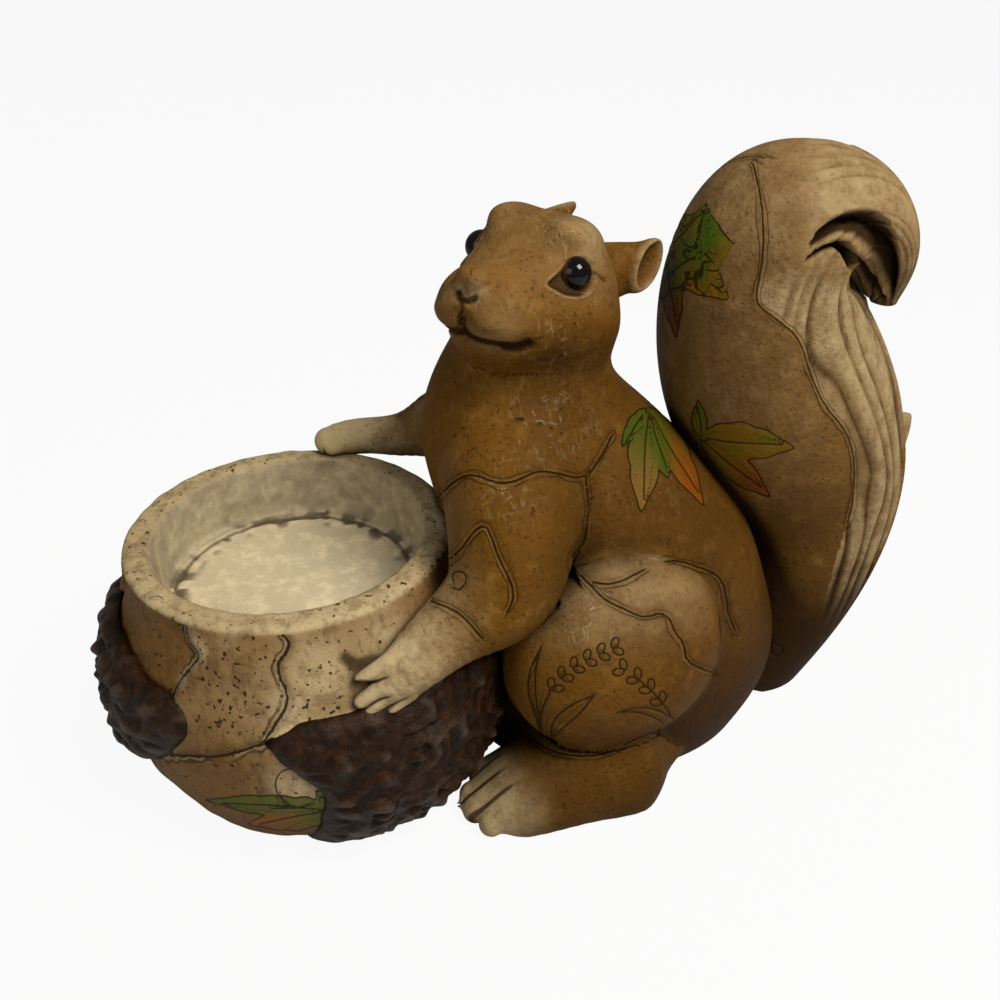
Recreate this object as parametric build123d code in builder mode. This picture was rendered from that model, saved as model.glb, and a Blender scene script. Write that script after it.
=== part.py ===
"""Squirrel figurine hugging a nut-shaped candle bowl: cast pieces, glued on dowels, on felt pads.

Millimetres, +Z up. The squirrel faces -X, its left side is -Y, and the origin is on the table under
the middle of the figure.
"""

import os
from math import cos, radians, sin

from build123d import *

os.makedirs("parts", exist_ok=True)

# Felt pads lift the figure off the table
pad_radius = 9.0
pad_thickness = 2.0
pad_recess = 1.0
base_z = pad_thickness - pad_recess

# Nut bowl: each section is height, middle along X, radius, from the base up to the rim
recess_radius = 39.0
recess_depth = 20.0
rim_width = 7.5
rim_round = 1.5
bowl_x = -72.0
bowl_height = 86.0
belly_x = -68.5
belly_z = 42.0
belly_radius = 58.5
base_to_belly = belly_z - base_z
belly_to_rim = bowl_height - belly_z
nut_sections = [
    (base_z, belly_x + 0.5, belly_radius - 17.5),
    (base_z + 0.27 * base_to_belly, belly_x + 1.0, belly_radius - 8.0),
    (base_z + 0.61 * base_to_belly, belly_x + 0.5, belly_radius - 2.2),
    (belly_z, belly_x, belly_radius),
    (belly_z + 0.36 * belly_to_rim, belly_x - 0.5, belly_radius - 1.5),
    (belly_z + 0.70 * belly_to_rim, belly_x - 1.3, belly_radius - 7.0),
    (bowl_height, bowl_x, recess_radius + rim_width),
]
husk_thickness = 5.0

# The squirrel sits behind the bowl: places along X in the tables below are measured from its seat
seat_gap = 10.0
seat_x = belly_x + belly_radius + seat_gap

# Glue joints and feet
joint_clearance = 0.1
dowel_radius = 3.0
dowel_length = 30.0
neck_dowel_at = [(seat_x + 2.0, -1.0, 140.0)]
tail_dowels_at = [(seat_x + 84.0, 0.0, 14.0), (seat_x + 84.0, 0.0, 30.0)]
bowl_dowels_at = [(belly_x + belly_radius - 1.0, side * 10.0, belly_z - 7.0) for side in (-1, 1)]
foreleg_dowel_at = (seat_x - 11.0, 30.0, 97.0)
hind_leg_dowel_at = (seat_x + 15.0, 42.0, 55.0)
bowl_pads_at = [(belly_x - 17.5, side * 20.0) for side in (-1, 1)]
tail_pad_at = (seat_x + 91.5, 0.0)
foot_pad_at = (seat_x, 46.5)

# Torso: each section is height, middle along X, half length, half width
torso_sections = [
    (base_z, 30.0, 50.0, 41.0),
    (22.0, 33.0, 54.0, 46.0),
    (50.0, 29.5, 51.5, 46.0),
    (75.0, 22.5, 47.5, 42.0),
    (96.0, 12.5, 42.0, 36.5),
    (113.0, 4.5, 35.5, 30.3),
    (127.0, 0.5, 27.5, 25.2),
    (141.0, 3.5, 23.0, 20.0),
]

# Tail: each section is X, height, lean back from upright in degrees, half depth, half width
tail_sections = [
    (85.0, base_z, 22.0, 19.0, 13.0),
    (97.0, 32.5, 16.0, 22.5, 21.0),
    (102.5, 66.5, -8.0, 27.0, 26.0),
    (88.0, 101.0, -31.0, 34.5, 29.0),
    (70.5, 138.0, -12.0, 30.0, 29.5),
    (76.5, 165.0, 57.0, 21.0, 28.5),
    (92.0, 166.0, 112.0, 16.0, 25.0),
    (102.5, 154.5, 152.0, 10.0, 21.0),
    (106.0, 142.0, 166.0, 4.0, 14.0),
]
# how far back a section keeps its width, and how blunt its rear edge is, as shares of the half sizes
tail_fullness = 0.6
tail_bluntness = 0.42
# hollow in each side of the curl: its ends and the middles of its upper and lower edge, as X and height
curl_hollow_front = (68.0, 157.0)
curl_hollow_top = (83.0, 172.0)
curl_hollow_rear = (99.0, 147.0)
curl_hollow_under = (84.0, 155.5)
curl_wall = 17.0

# Head, in its own axes: ahead to the nose, to the squirrel's left, up to the crown
head_centre = (0.5, -2.0, 153.4)
head_turn = 36.0
head_lift = 20.0
head_roll = -4.0
# each section is distance ahead, height, half width, half height
head_sections = [
    (-24.0, 1.0, 8.0, 9.5),
    (-18.0, 1.0, 16.0, 17.5),
    (-8.0, 0.0, 21.5, 21.5),
    (2.0, -0.7, 22.0, 22.0),
    (11.0, -3.4, 19.5, 19.5),
    (19.0, -7.0, 15.0, 14.8),
    (26.0, -7.7, 11.6, 10.6),
    (31.0, -7.1, 7.1, 6.0),
]
eye_radius = 5.2
eye_seat = (7.0, 15.5, 7.0)
ear_left_seat = (-9.0, 13.0, 5.5)
ear_left_direction = (-0.46, 0.76, 0.46)
ear_right_seat = (-12.0, -11.0, 5.0)
ear_right_direction = (-0.45, -0.21, 0.87)
# each section is distance along the ear, half height, half thickness
ear_sections = [
    (0.0, 6.5, 5.0),
    (6.0, 5.4, 4.4),
    (22.0, 7.8, 5.6),
]
ear_length = 14.0
ear_slant = 0.65
ear_tip_turn = 50.0
ear_hollow_radius = 4.4

# Hind legs: a rounded haunch and a flat-soled foot that lies along X
haunch_centre = (15.0, 40.0, 53.0)
haunch_radius = 33.0
haunch_depth = 21.0
foot_y = 43.0
# each section is X, height of its middle, half width, half height
foot_sections = [
    (36.0, 9.0, 9.5, 10.0),
    (28.0, 9.0, 14.5, 17.0),
    (8.0, 8.0, 16.0, 18.0),
    (-8.0, 6.0, 16.0, 15.0),
    (-22.0, 4.5, 14.0, 10.0),
    (-31.0, 4.0, 9.0, 5.5),
]

toe_grooves = (-6.4, 0.0, 6.4)
toe_groove_at = (-34.0, 15.5)
toe_groove_radius = 9.0
toe_groove_width = 1.4

# Forelegs: each point is X, distance out from the middle plane, height, radius; the paws lie on the bowl
left_foreleg_points = [
    (seat_x - 12.0, 26.0, 105.0, 19.0),
    (seat_x - 15.0, 37.0, 95.0, 17.0),
    (seat_x - 20.0, 44.0, 86.0, 14.5),
    (seat_x - 31.0, belly_radius - 12.0, belly_z + 39.5, 12.0),
    (belly_x + 25.5, belly_radius - 9.5, belly_z + 33.5, 10.0),
    (belly_x + 16.5, belly_radius - 7.0, belly_z + 28.5, 9.0),
    (belly_x + 10.5, belly_radius - 5.5, belly_z + 25.5, 6.5),
]
right_foreleg_points = [
    (seat_x + 4.0, 22.0, 93.0, 14.0),
    (seat_x - 5.0, 30.0, 91.0, 12.5),
    (seat_x - 18.0, 37.0, bowl_height + 3.0, 9.5),
    (bowl_x + 41.0, recess_radius + 2.0, bowl_height + 3.0, 7.0),
    (bowl_x + 31.0, recess_radius + 3.5, bowl_height + 3.5, 6.0),
    (bowl_x + 22.0, recess_radius + 4.0, bowl_height + 3.5, 5.5),
    (bowl_x + 17.0, recess_radius + 4.0, bowl_height + 3.2, 4.5),
]
# fingers of the left paw: each is its place across the paw, in spacings, and its reach from the palm
finger_spacing = 4.6
finger_radius = 2.75
left_fingers = [(-1.5, 11.0), (-0.5, 13.4), (0.5, 14.0), (1.5, 11.8)]


def cylinders(places, along, radius, length, mode=Mode.ADD):
    """Like cylinders in the piece being built, each centred on its place, with its axis along a direction."""
    for place in places:
        with Locations(Plane(place, z_dir=along).location):
            Cylinder(radius, length, mode=mode)


def bore(places, along):
    """Dowel bores in the piece being built."""
    cylinders(places, along, dowel_radius + joint_clearance, dowel_length + 2 * joint_clearance, Mode.SUBTRACT)


def pad_seats(places):
    """Shallow recesses for the felt pads in the underside of the piece being built."""
    seats = [(x, y, base_z + pad_recess / 2) for x, y in places]
    cylinders(seats, (0, 0, 1), pad_radius + joint_clearance, pad_recess, Mode.SUBTRACT)


# Filled shape of the nut, which the pieces that lie on it are cut back to
with BuildPart() as nut_shape:
    for height, middle, radius in nut_sections:
        with BuildSketch(Plane((middle, 0, height))):
            Circle(radius)
    loft()

# Nut bowl: the nut with a candle recess in its top
with BuildPart() as nut_bowl:
    add(nut_shape.part)
    with BuildSketch(Plane((bowl_x, 0, bowl_height))):
        Circle(recess_radius)
    extrude(amount=-recess_depth, mode=Mode.SUBTRACT)
    fillet(nut_bowl.edges().group_by(Axis.Z)[-1], rim_round)
    bore(bowl_dowels_at, (1, 0, 0))
    pad_seats(bowl_pads_at)


def make_husk(bearing, outline):
    """One husk lobe: a layer over the nut, cut to an outline drawn on the upright plane facing bearing."""
    outward = (sin(radians(bearing)), -cos(radians(bearing)), 0)
    across = (cos(radians(bearing)), sin(radians(bearing)), 0)
    with BuildPart() as husk:
        for height, middle, radius in nut_sections:
            with BuildSketch(Plane((middle, 0, height))):
                Circle(radius + husk_thickness)
        loft()
        with BuildSketch(Plane((belly_x, 0, belly_z), x_dir=across, z_dir=outward)):
            with BuildLine():
                Spline(*outline, periodic=True)
            make_face()
        extrude(amount=2 * belly_radius, mode=Mode.INTERSECT)
        add(nut_shape.part, mode=Mode.SUBTRACT)
    return husk


# Outlines of the lobes: distance across the lobe and height above the belly, seen from outside the bowl
husk_front = make_husk(-92.0, [(44, 18), (26, 24), (-22, 22), (-44, 12), (-36, -6), (0, -18), (38, -2)])
husk_left = make_husk(30.0, [(-40, 16), (-20, 22), (22, 22), (40, 8), (38, -20), (8, -52), (-26, -36), (-28, 2)])
husk_right = make_husk(176.0, [(36, 14), (10, 24), (-26, 20), (-36, 0), (-26, -30), (10, -36), (34, -16)])
husks = [husk_front, husk_left, husk_right]

# Filled shape of the torso, from the seat to the top of the neck
with BuildPart() as torso_shape:
    for height, middle, half_length, half_width in torso_sections:
        with BuildSketch(Plane((seat_x + middle, 0, height))):
            Ellipse(half_length, half_width)
    loft()

# Torso: that shape hollowed where it meets the bowl, and bored for the dowels that hold other pieces to it
with BuildPart() as torso:
    add(torso_shape.part)
    for piece in (nut_shape, *husks):
        add(piece.part, mode=Mode.SUBTRACT)
    bore(neck_dowel_at, (0, 0, 1))
    bore(tail_dowels_at + bowl_dowels_at, (1, 0, 0))
    for x, out, height in (foreleg_dowel_at, hind_leg_dowel_at):
        bore([(x, out, height), (x, -out, height)], (0, 1, 0))

# Hollows under the curl, one in each side of the tail
with BuildPart() as curl_hollows:
    with BuildSketch(Plane((seat_x, 0, 0), x_dir=(1, 0, 0), z_dir=(0, -1, 0))):
        with BuildLine():
            ThreePointArc(curl_hollow_front, curl_hollow_top, curl_hollow_rear)
            ThreePointArc(curl_hollow_rear, curl_hollow_under, curl_hollow_front)
        make_face()
    extrude(amount=2 * curl_wall, both=True)
    with BuildSketch(Plane((seat_x, 0, 0), x_dir=(1, 0, 0), z_dir=(0, -1, 0))):
        with Locations(curl_hollow_under):
            Circle(2 * curl_wall)
    extrude(amount=curl_wall, both=True, mode=Mode.SUBTRACT)

# Tail: a plume that rises from the table behind the back and curls over at its top
with BuildPart() as tail:
    for x, height, lean, half_depth, half_width in tail_sections:
        along = (sin(radians(lean)), 0, cos(radians(lean)))
        with BuildSketch(Plane((seat_x + x, 0, height), x_dir=(along[2], 0, -along[0]), z_dir=along)):
            rear = (half_depth, 0)
            full = half_depth * tail_fullness
            blunt = half_width * tail_bluntness
            with BuildLine():
                EllipticalCenterArc((0, 0), half_depth, half_width, 90, arc_size=180)
                Bezier((0, -half_width), (full, -half_width), (half_depth, -blunt), rear)
                Bezier(rear, (half_depth, blunt), (full, half_width), (0, half_width))
            make_face()
    loft()
    split(bisect_by=Plane.XY.offset(base_z), keep=Keep.TOP)
    for piece in (torso_shape, curl_hollows):
        add(piece.part, mode=Mode.SUBTRACT)
    bore(tail_dowels_at, (1, 0, 0))
    pad_seats([tail_pad_at])

# Head and what it carries, placed by the head's own axes
head_ahead = Vector(
    -cos(radians(head_turn)) * cos(radians(head_lift)),
    -sin(radians(head_turn)) * cos(radians(head_lift)),
    sin(radians(head_lift)),
)
head_side = Vector(sin(radians(head_turn)), -cos(radians(head_turn)), 0)
head_left = head_side * cos(radians(head_roll)) + head_ahead.cross(head_side) * sin(radians(head_roll))
head_up = head_ahead.cross(head_left)


def in_head(ahead, left, up):
    """A point of the head, given in the head's own axes."""
    return Vector(seat_x, 0, 0) + Vector(*head_centre) + head_ahead * ahead + head_left * left + head_up * up


with BuildPart() as head:
    for ahead, up, half_width, half_height in head_sections:
        with BuildSketch(Plane(in_head(ahead, 0, up), x_dir=head_left, z_dir=head_ahead)):
            Ellipse(half_width, half_height)
    loft()
    add(torso_shape.part, mode=Mode.SUBTRACT)
    bore(neck_dowel_at, (0, 0, 1))
    for side in (1, -1):
        with Locations(in_head(eye_seat[0], side * eye_seat[1], eye_seat[2])):
            Sphere(eye_radius + joint_clearance, mode=Mode.SUBTRACT)


def make_eye(side):
    """A ball eye in its socket, on the squirrel's left for side 1 and its right for side -1."""
    with BuildPart() as eye:
        with Locations(in_head(eye_seat[0], side * eye_seat[1], eye_seat[2])):
            Sphere(eye_radius)
    return eye


def make_ear(side, seat, direction):
    """A trumpet of an ear that stands out from the back of the head, cut slantwise and hollowed to the front."""
    along = (in_head(*direction) - in_head(0, 0, 0)).normalized()
    upward = head_ahead.cross(along).normalized() * side
    backward = upward.cross(along).normalized() * side
    to_tip = upward * cos(radians(ear_tip_turn)) + backward * sin(radians(ear_tip_turn))
    root = in_head(*seat)
    mouth = root + along * ear_length
    with BuildPart() as ear:
        for distance, half_height, half_thickness in ear_sections:
            with BuildSketch(Plane(root + along * distance, x_dir=upward, z_dir=along)):
                Ellipse(half_height, half_thickness)
        loft()
        split(bisect_by=Plane(mouth, z_dir=along - to_tip * ear_slant), keep=Keep.BOTTOM)
        with Locations(mouth):
            Sphere(ear_hollow_radius, mode=Mode.SUBTRACT)
        for piece in (head, torso_shape):
            add(piece.part, mode=Mode.SUBTRACT)
    return ear


eye_left = make_eye(1)
eye_right = make_eye(-1)
ear_left = make_ear(1, ear_left_seat, ear_left_direction)
ear_right = make_ear(-1, ear_right_seat, ear_right_direction)


# Hind leg, drawn for the left: haunch and foot in one casting, cut back to the torso, tail and bowl
with BuildPart() as hind_leg_shape:
    haunch_middle = (seat_x + haunch_centre[0], -haunch_centre[1], haunch_centre[2])
    with BuildSketch(Plane(haunch_middle)):
        Ellipse(haunch_radius, haunch_depth)
        with Locations((-haunch_radius, 0)):
            Rectangle(2 * haunch_radius, 3 * haunch_depth, mode=Mode.SUBTRACT)
    revolve(axis=Axis(haunch_middle, (0, 1, 0)))
    for x, height, half_width, half_height in foot_sections:
        with BuildSketch(Plane((seat_x + x, -foot_y, height), x_dir=(0, 1, 0), z_dir=(1, 0, 0))):
            Ellipse(half_width, half_height)
    loft()
    split(bisect_by=Plane.XY.offset(base_z), keep=Keep.TOP)
    groove_x, groove_z = toe_groove_at
    grooves_at = [(seat_x + groove_x, across - foot_y, groove_z) for across in toe_grooves]
    cylinders(grooves_at, (0, 1, 0), toe_groove_radius, toe_groove_width, Mode.SUBTRACT)
    for piece in (torso_shape, tail, nut_shape):
        add(piece.part, mode=Mode.SUBTRACT)
    bore([(hind_leg_dowel_at[0], -hind_leg_dowel_at[1], hind_leg_dowel_at[2])], (0, 1, 0))
    pad_seats([(foot_pad_at[0], -foot_pad_at[1])])

with BuildPart() as hind_leg_left:
    add(hind_leg_shape.part)
    add(husk_left.part, mode=Mode.SUBTRACT)

with BuildPart() as hind_leg_right:
    mirror(hind_leg_shape.part, about=Plane.XZ)
    add(husk_right.part, mode=Mode.SUBTRACT)


def make_foreleg(side, points, fingers, hind_leg):
    """A foreleg along its points, with any fingers, cut back to what it lies against and clear of the candle."""
    centres = [Vector(x, -side * out, height) for x, out, height, radius in points]
    palm = centres[-2]
    ahead = (centres[-1] - palm).normalized()
    sideways = ahead.cross(Vector(palm.X - belly_x, palm.Y, palm.Z - belly_z)).normalized()
    with BuildPart() as foreleg:
        for i, centre in enumerate(centres):
            along = centres[min(i + 1, len(centres) - 1)] - centres[max(i - 1, 0)]
            with BuildSketch(Plane(centre, x_dir=along.cross(Vector(0, 0, 1)), z_dir=along)):
                Circle(points[i][3])
        loft()
        with Locations(centres[-1]):
            Sphere(points[-1][3])
        for place, reach in fingers:
            tip = palm + sideways * (place * finger_spacing) + ahead * reach
            cylinders([tip - ahead * (reach / 2)], ahead, finger_radius, reach)
            with Locations(tip):
                Sphere(finger_radius)
        with BuildSketch(Plane((bowl_x, 0, bowl_height))):
            Circle(recess_radius)
        extrude(amount=bowl_height, mode=Mode.SUBTRACT)
        for piece in (nut_shape, *husks, torso_shape, hind_leg):
            add(piece.part, mode=Mode.SUBTRACT)
        bore([(foreleg_dowel_at[0], -side * foreleg_dowel_at[1], foreleg_dowel_at[2])], (0, 1, 0))
    return foreleg


foreleg_left = make_foreleg(1, left_foreleg_points, left_fingers, hind_leg_left)
foreleg_right = make_foreleg(-1, right_foreleg_points, [], hind_leg_right)

# Dowels, one node for each glue joint or pair of like joints
with BuildPart() as neck_dowel:
    cylinders(neck_dowel_at, (0, 0, 1), dowel_radius, dowel_length)

with BuildPart() as tail_dowels:
    cylinders(tail_dowels_at, (1, 0, 0), dowel_radius, dowel_length)

with BuildPart() as bowl_dowels:
    cylinders(bowl_dowels_at, (1, 0, 0), dowel_radius, dowel_length)


def make_side_dowels(place):
    """A pair of dowels across the figure, one for each side."""
    x, out, height = place
    with BuildPart() as dowels:
        cylinders([(x, out, height), (x, -out, height)], (0, 1, 0), dowel_radius, dowel_length)
    return dowels


foreleg_dowels = make_side_dowels(foreleg_dowel_at)
hind_leg_dowels = make_side_dowels(hind_leg_dowel_at)

# Felt pads under the bowl, the feet and the tail
foot_pads_at = [foot_pad_at, (foot_pad_at[0], -foot_pad_at[1])]
with BuildPart() as felt_pads:
    pad_middles = [(x, y, pad_thickness / 2) for x, y in [*bowl_pads_at, *foot_pads_at, tail_pad_at]]
    cylinders(pad_middles, (0, 0, 1), pad_radius, pad_thickness)

pieces = {
    "nut_bowl": nut_bowl,
    "husk_front": husk_front,
    "husk_left": husk_left,
    "husk_right": husk_right,
    "torso": torso,
    "tail": tail,
    "head": head,
    "eye_left": eye_left,
    "eye_right": eye_right,
    "ear_left": ear_left,
    "ear_right": ear_right,
    "hind_leg_left": hind_leg_left,
    "hind_leg_right": hind_leg_right,
    "foreleg_left": foreleg_left,
    "foreleg_right": foreleg_right,
    "neck_dowel": neck_dowel,
    "tail_dowels": tail_dowels,
    "bowl_dowels": bowl_dowels,
    "foreleg_dowels": foreleg_dowels,
    "hind_leg_dowels": hind_leg_dowels,
    "felt_pads": felt_pads,
}
for name, piece in pieces.items():
    piece.part.label = name
    export_step(piece.part, f"parts/{name}.step")
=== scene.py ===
"""Looks of the squirrel figurine: painted skin, nut bowl and husks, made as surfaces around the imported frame.

Shapes are worked out in millimetres, in the frame's axes, and become metres when they are put into a mesh.
"""

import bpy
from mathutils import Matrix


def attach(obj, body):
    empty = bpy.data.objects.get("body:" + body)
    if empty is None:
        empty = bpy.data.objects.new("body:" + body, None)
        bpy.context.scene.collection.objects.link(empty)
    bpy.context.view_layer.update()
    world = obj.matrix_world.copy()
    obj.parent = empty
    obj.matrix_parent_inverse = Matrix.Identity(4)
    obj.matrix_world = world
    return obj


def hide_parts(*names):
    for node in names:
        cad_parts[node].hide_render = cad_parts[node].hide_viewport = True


bl_info = {
    "name": "Squirrel Figurine",
    "version": (1, 0, 0),
    "blender": (4, 5, 0),
    "location": "View3D > Sidebar > Figurine",
    "description": "Builds a painted squirrel figurine that hugs a nut-shaped candle bowl",
    "category": "Add Mesh",
}

import bpy
import numpy as np
from bpy.props import FloatProperty, FloatVectorProperty, PointerProperty
from mathutils import Matrix, Vector

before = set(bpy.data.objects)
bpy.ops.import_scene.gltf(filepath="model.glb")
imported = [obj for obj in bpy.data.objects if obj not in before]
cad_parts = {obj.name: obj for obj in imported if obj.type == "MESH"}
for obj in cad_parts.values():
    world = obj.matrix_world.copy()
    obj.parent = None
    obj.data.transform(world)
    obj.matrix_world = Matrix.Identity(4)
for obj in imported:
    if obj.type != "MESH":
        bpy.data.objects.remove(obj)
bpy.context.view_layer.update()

MM = 0.001
GRID_SCALE = 1.0
BASE_Z = 1.0

# Camera: turn about the vertical, tilt, place in millimetres; its lens is as long as the picture is wide
CAMERA_TURN = np.radians(-15.0)
CAMERA_TILT = np.radians(32.3)
CAMERA_AT = np.array((-75.1, -249.3, 248.0))
PICTURE = 1000.0
CAMERA_BACK = np.array((
    np.sin(CAMERA_TURN) * np.cos(CAMERA_TILT),
    -np.cos(CAMERA_TURN) * np.cos(CAMERA_TILT),
    np.sin(CAMERA_TILT),
))
CAMERA_RIGHT = np.array((np.cos(CAMERA_TURN), np.sin(CAMERA_TURN), 0.0))
CAMERA_UP = np.cross(CAMERA_BACK, CAMERA_RIGHT)

# Nut bowl: each row is height, middle along X, radius
NUT_ROWS = [
    (1.0, -68.0, 41.0),
    (12.1, -67.5, 50.5),
    (26.0, -68.0, 56.3),
    (42.0, -68.5, 58.5),
    (57.8, -69.0, 57.0),
    (72.8, -69.8, 51.5),
    (86.0, -72.0, 46.5),
]
BOWL_X = -72.0
BELLY_X = -68.5
BOWL_HEIGHT = 86.0
RECESS_RADIUS = 39.0
RECESS_FLOOR = 66.0
# Husk lobes: bearing, then the outline's distances across and heights
HUSKS = {
    "husk_front": (-92.0, [(44, 60), (26, 66), (-22, 64), (-44, 54), (-36, 36), (0, 24), (38, 40)]),
    "husk_left": (30.0, [(-42, 56), (-20, 63), (22, 64), (40, 50), (38, 22), (8, -10), (-31, 6), (-35, 42)]),
    "husk_right": (176.0, [(36, 56), (10, 66), (-26, 62), (-36, 42), (-26, 12), (10, 6), (34, 26)]),
}

# Torso: each row is height, middle along X, half length, half width; the neck ends in a dome inside the head
TORSO_ROWS = [
    (1.0, 30.0, 50.0, 41.0),
    (22.0, 33.0, 54.0, 46.0),
    (50.0, 29.5, 51.5, 46.0),
    (75.0, 22.5, 47.5, 42.0),
    (96.0, 12.0, 41.5, 36.5),
    (113.0, 3.2, 34.2, 30.3),
    (127.0, -1.2, 25.8, 25.2),
    (141.0, 2.3, 21.8, 20.0),
]
NECK_FOOT = 119.0
NECK_TOP = 141.0
NECK_DOME = 14.0

# Tail: each row is X, height, lean back from upright in degrees, half depth, half width
TAIL_ROWS = [
    (83.0, 1.0, 22.0, 21.0, 19.0),
    (96.5, 32.5, 16.0, 23.0, 24.0),
    (102.5, 66.5, -8.0, 27.0, 26.0),
    (88.0, 101.0, -31.0, 34.5, 29.0),
    (70.5, 138.0, -12.0, 30.0, 29.5),
    (76.5, 165.0, 57.0, 21.0, 28.5),
    (92.0, 166.0, 112.0, 16.0, 25.0),
    (102.5, 154.5, 152.0, 10.0, 21.0),
    (106.0, 142.0, 166.0, 4.0, 14.0),
]
# How far back a tail section keeps its width, and how blunt its rear edge is, as shares of the half sizes
TAIL_FULLNESS = 0.6
TAIL_BLUNTNESS = 0.42

# Head, in its own axes: ahead to the nose, to the squirrel's left, up to the crown
HEAD_CENTRE = np.array((0.5, -2.0, 153.4))
HEAD_TURN = np.radians(43.5)
HEAD_LIFT = np.radians(21.0)
HEAD_ROLL = np.radians(-4.0)
# Each row is distance ahead, height, half width, half height, before the two ends are rounded off
HEAD_ROWS = [
    (-26.0, -0.6, 18.0, 19.3),
    (-18.0, -0.6, 20.0, 19.6),
    (-8.0, -1.2, 21.6, 19.8),
    (2.0, -1.4, 22.0, 20.9),
    (11.0, -3.6, 19.5, 19.0),
    (19.0, -7.0, 15.0, 14.8),
    (26.0, -7.7, 11.9, 10.8),
    (31.0, -7.1, 10.5, 8.9),
    (33.0, -6.8, 9.8, 8.3),
]
# Where the rounding of each end starts and ends, and how far the rows are followed
HEAD_ROUND = ((-6.0, -26.0), (24.0, 33.0))
HEAD_REACH = (-25.9, 32.9)
# The run that the head's rays start from, and the height of the dome at its back
HEAD_SPINE = (-12.0, 23.0)
REAR_DOME = 0.8
# Lumps on the head: middle, half sizes, softness of the join; each stands on both sides
HEAD_LUMPS = [
    ((26.0, 4.8, -7.6), (7.0, 5.2, 6.4), 4.0),
    ((21.5, 0.0, -15.6), (7.0, 6.5, 3.6), 4.0),
    ((4.5, 10.5, 14.4), (9.0, 5.5, 4.4), 6.0),
    ((31.6, 0.0, -0.6), (3.6, 4.4, 3.0), 2.2),
    ((2.0, 14.5, -8.0), (13.0, 8.0, 9.0), 7.0),
]
# Lines of the face's near side, in the picture's pixels; the far side mirrors them
EYE_OPENING = [
    (548, 285), (556, 275), (566, 265), (577, 259), (586, 261), (592, 268),
    (594, 278), (591, 288), (583, 295), (573, 296), (563, 294), (554, 289),
]
FACE_LINES = {
    "mouth": [(462, 323), (468, 333), (482, 340), (499, 343), (514, 345), (529, 341)],
    "corner": [(506, 346), (518, 348), (528, 344)],
    "part": [(461, 305), (462, 314), (462, 323)],
    "nostril": [(453, 289), (459, 297), (467, 301), (475, 298)],
    "crease": [(591, 267), (597, 274), (604, 281)],
}
# How deep each line is cut into the head, half how wide; then its dark wash: strength, half width
FACE_CUTS = {
    "mouth": (1.0, 0.65),
    "corner": (0.8, 1.1),
    "part": (0.7, 0.7),
    "nostril": (1.2, 1.0),
    "crease": (0.7, 0.8),
}
FACE_WASH = {
    "mouth": (1.2, 0.6),
    "corner": (1.0, 0.9),
    "part": (0.8, 0.5),
    "nostril": (1.2, 0.9),
    "crease": (0.7, 0.5),
    "eye": (0.5, 0.3),
}
# Cream spots of the nose, the lips and the brow, in the head's axes: middle, spread, strength
HEAD_SPOTS = [((33.2, 2.2, -3.4), 2.4, 0.45), ((26.0, 6.0, -9.5), 6.0, 0.3), ((6.0, 14.0, 15.0), 6.0, 0.3)]
# Distances ahead between which the cheeks give way to the muzzle, and between which the lips begin
CHEEK_FADE = (26.0, 14.0)
LIPS_FADE = (16.0, 23.0)
EYE_SEAT = np.array((9.5, 15.4, 6.1))
EYE_RADIUS = 4.4
# How much narrower the head's far side is behind the muzzle
FAR_SQUEEZE = 0.2
# Ears: seat, direction, both in the head's axes
EARS = {
    "ear_left": ((-9.0, 13.0, 7.0), (-0.49, 0.79, 0.37)),
    "ear_right": ((-14.5, -9.5, 7.6), (-0.52, -0.20, 0.83)),
}

# Hind legs: a haunch and a foot whose rows are X, height, half width, half height
HAUNCH_CENTRE = np.array((15.0, 40.0, 53.0))
HAUNCH_SIZE = np.array((33.0, 21.0, 33.0))
FOOT_Y = 43.0
FOOT_ROWS = [
    (36.0, 9.0, 9.5, 10.0),
    (28.0, 9.0, 14.5, 17.0),
    (8.0, 8.0, 16.0, 18.0),
    (-8.0, 6.0, 16.0, 15.0),
    (-22.0, 4.5, 14.0, 10.0),
    (-31.0, 4.0, 9.0, 5.5),
]
FOOT_ROUND = ((22.0, 36.0), (-14.0, -31.0))
FOOT_REACH = (-28.0, 33.0)
# Toes: distance across from the foot's middle, X of the tip
TOES = [(-9.6, -27.5), (-3.3, -32.0), (3.2, -32.5), (9.4, -29.0)]
TOE_RADII = (4.2, 4.2, 3.9)
TOE_GAPS = (-6.4, 0.0, 6.4)

# Forelegs: each row is X, distance out from the middle plane, height, radius
FORELEG_ROWS = {
    "foreleg_left": [
        (-12.0, 26.0, 105.0, 19.0),
        (-15.0, 37.0, 95.0, 17.0),
        (-20.0, 44.0, 86.0, 14.5),
        (-31.0, 47.5, 79.8, 10.6),
        (-41.0, 50.0, 74.4, 8.6),
        (-47.0, 52.0, 70.8, 7.0),
        (-51.0, 53.3, 68.4, 4.6),
    ],
    "foreleg_right": [
        (4.0, 22.0, 95.0, 15.0),
        (-5.0, 30.0, 94.5, 15.0),
        (-13.0, 34.5, 94.5, 13.8),
        (-24.0, 39.5, 91.0, 9.0),
        (-32.0, 41.2, 89.2, 7.0),
        (-41.0, 42.5, 89.5, 6.0),
        (-50.0, 43.0, 89.5, 5.5),
        (-55.0, 43.0, 89.2, 4.5),
    ],
}
SIDE = {"left": 1.0, "right": -1.0}
# A distance in millimetres that counts as out of reach of any drawn line
FAR = 9.0
# Skin: least distance along a ray, how far past a seam a piece starts and ends its dip under the neighbour,
# how far a join can swell a piece, and the gap kept to the bowl
RAY_START = 0.05
SEAM_DIP = (1.0, 4.2)
SWELL_REACH = 16.0
BOWL_GAP = 0.15


def length_property(label, words, value):
    """A property for a length in millimetres."""
    return FloatProperty(name=label, description=f"{words} in mm", default=value, min=0.1)


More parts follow.
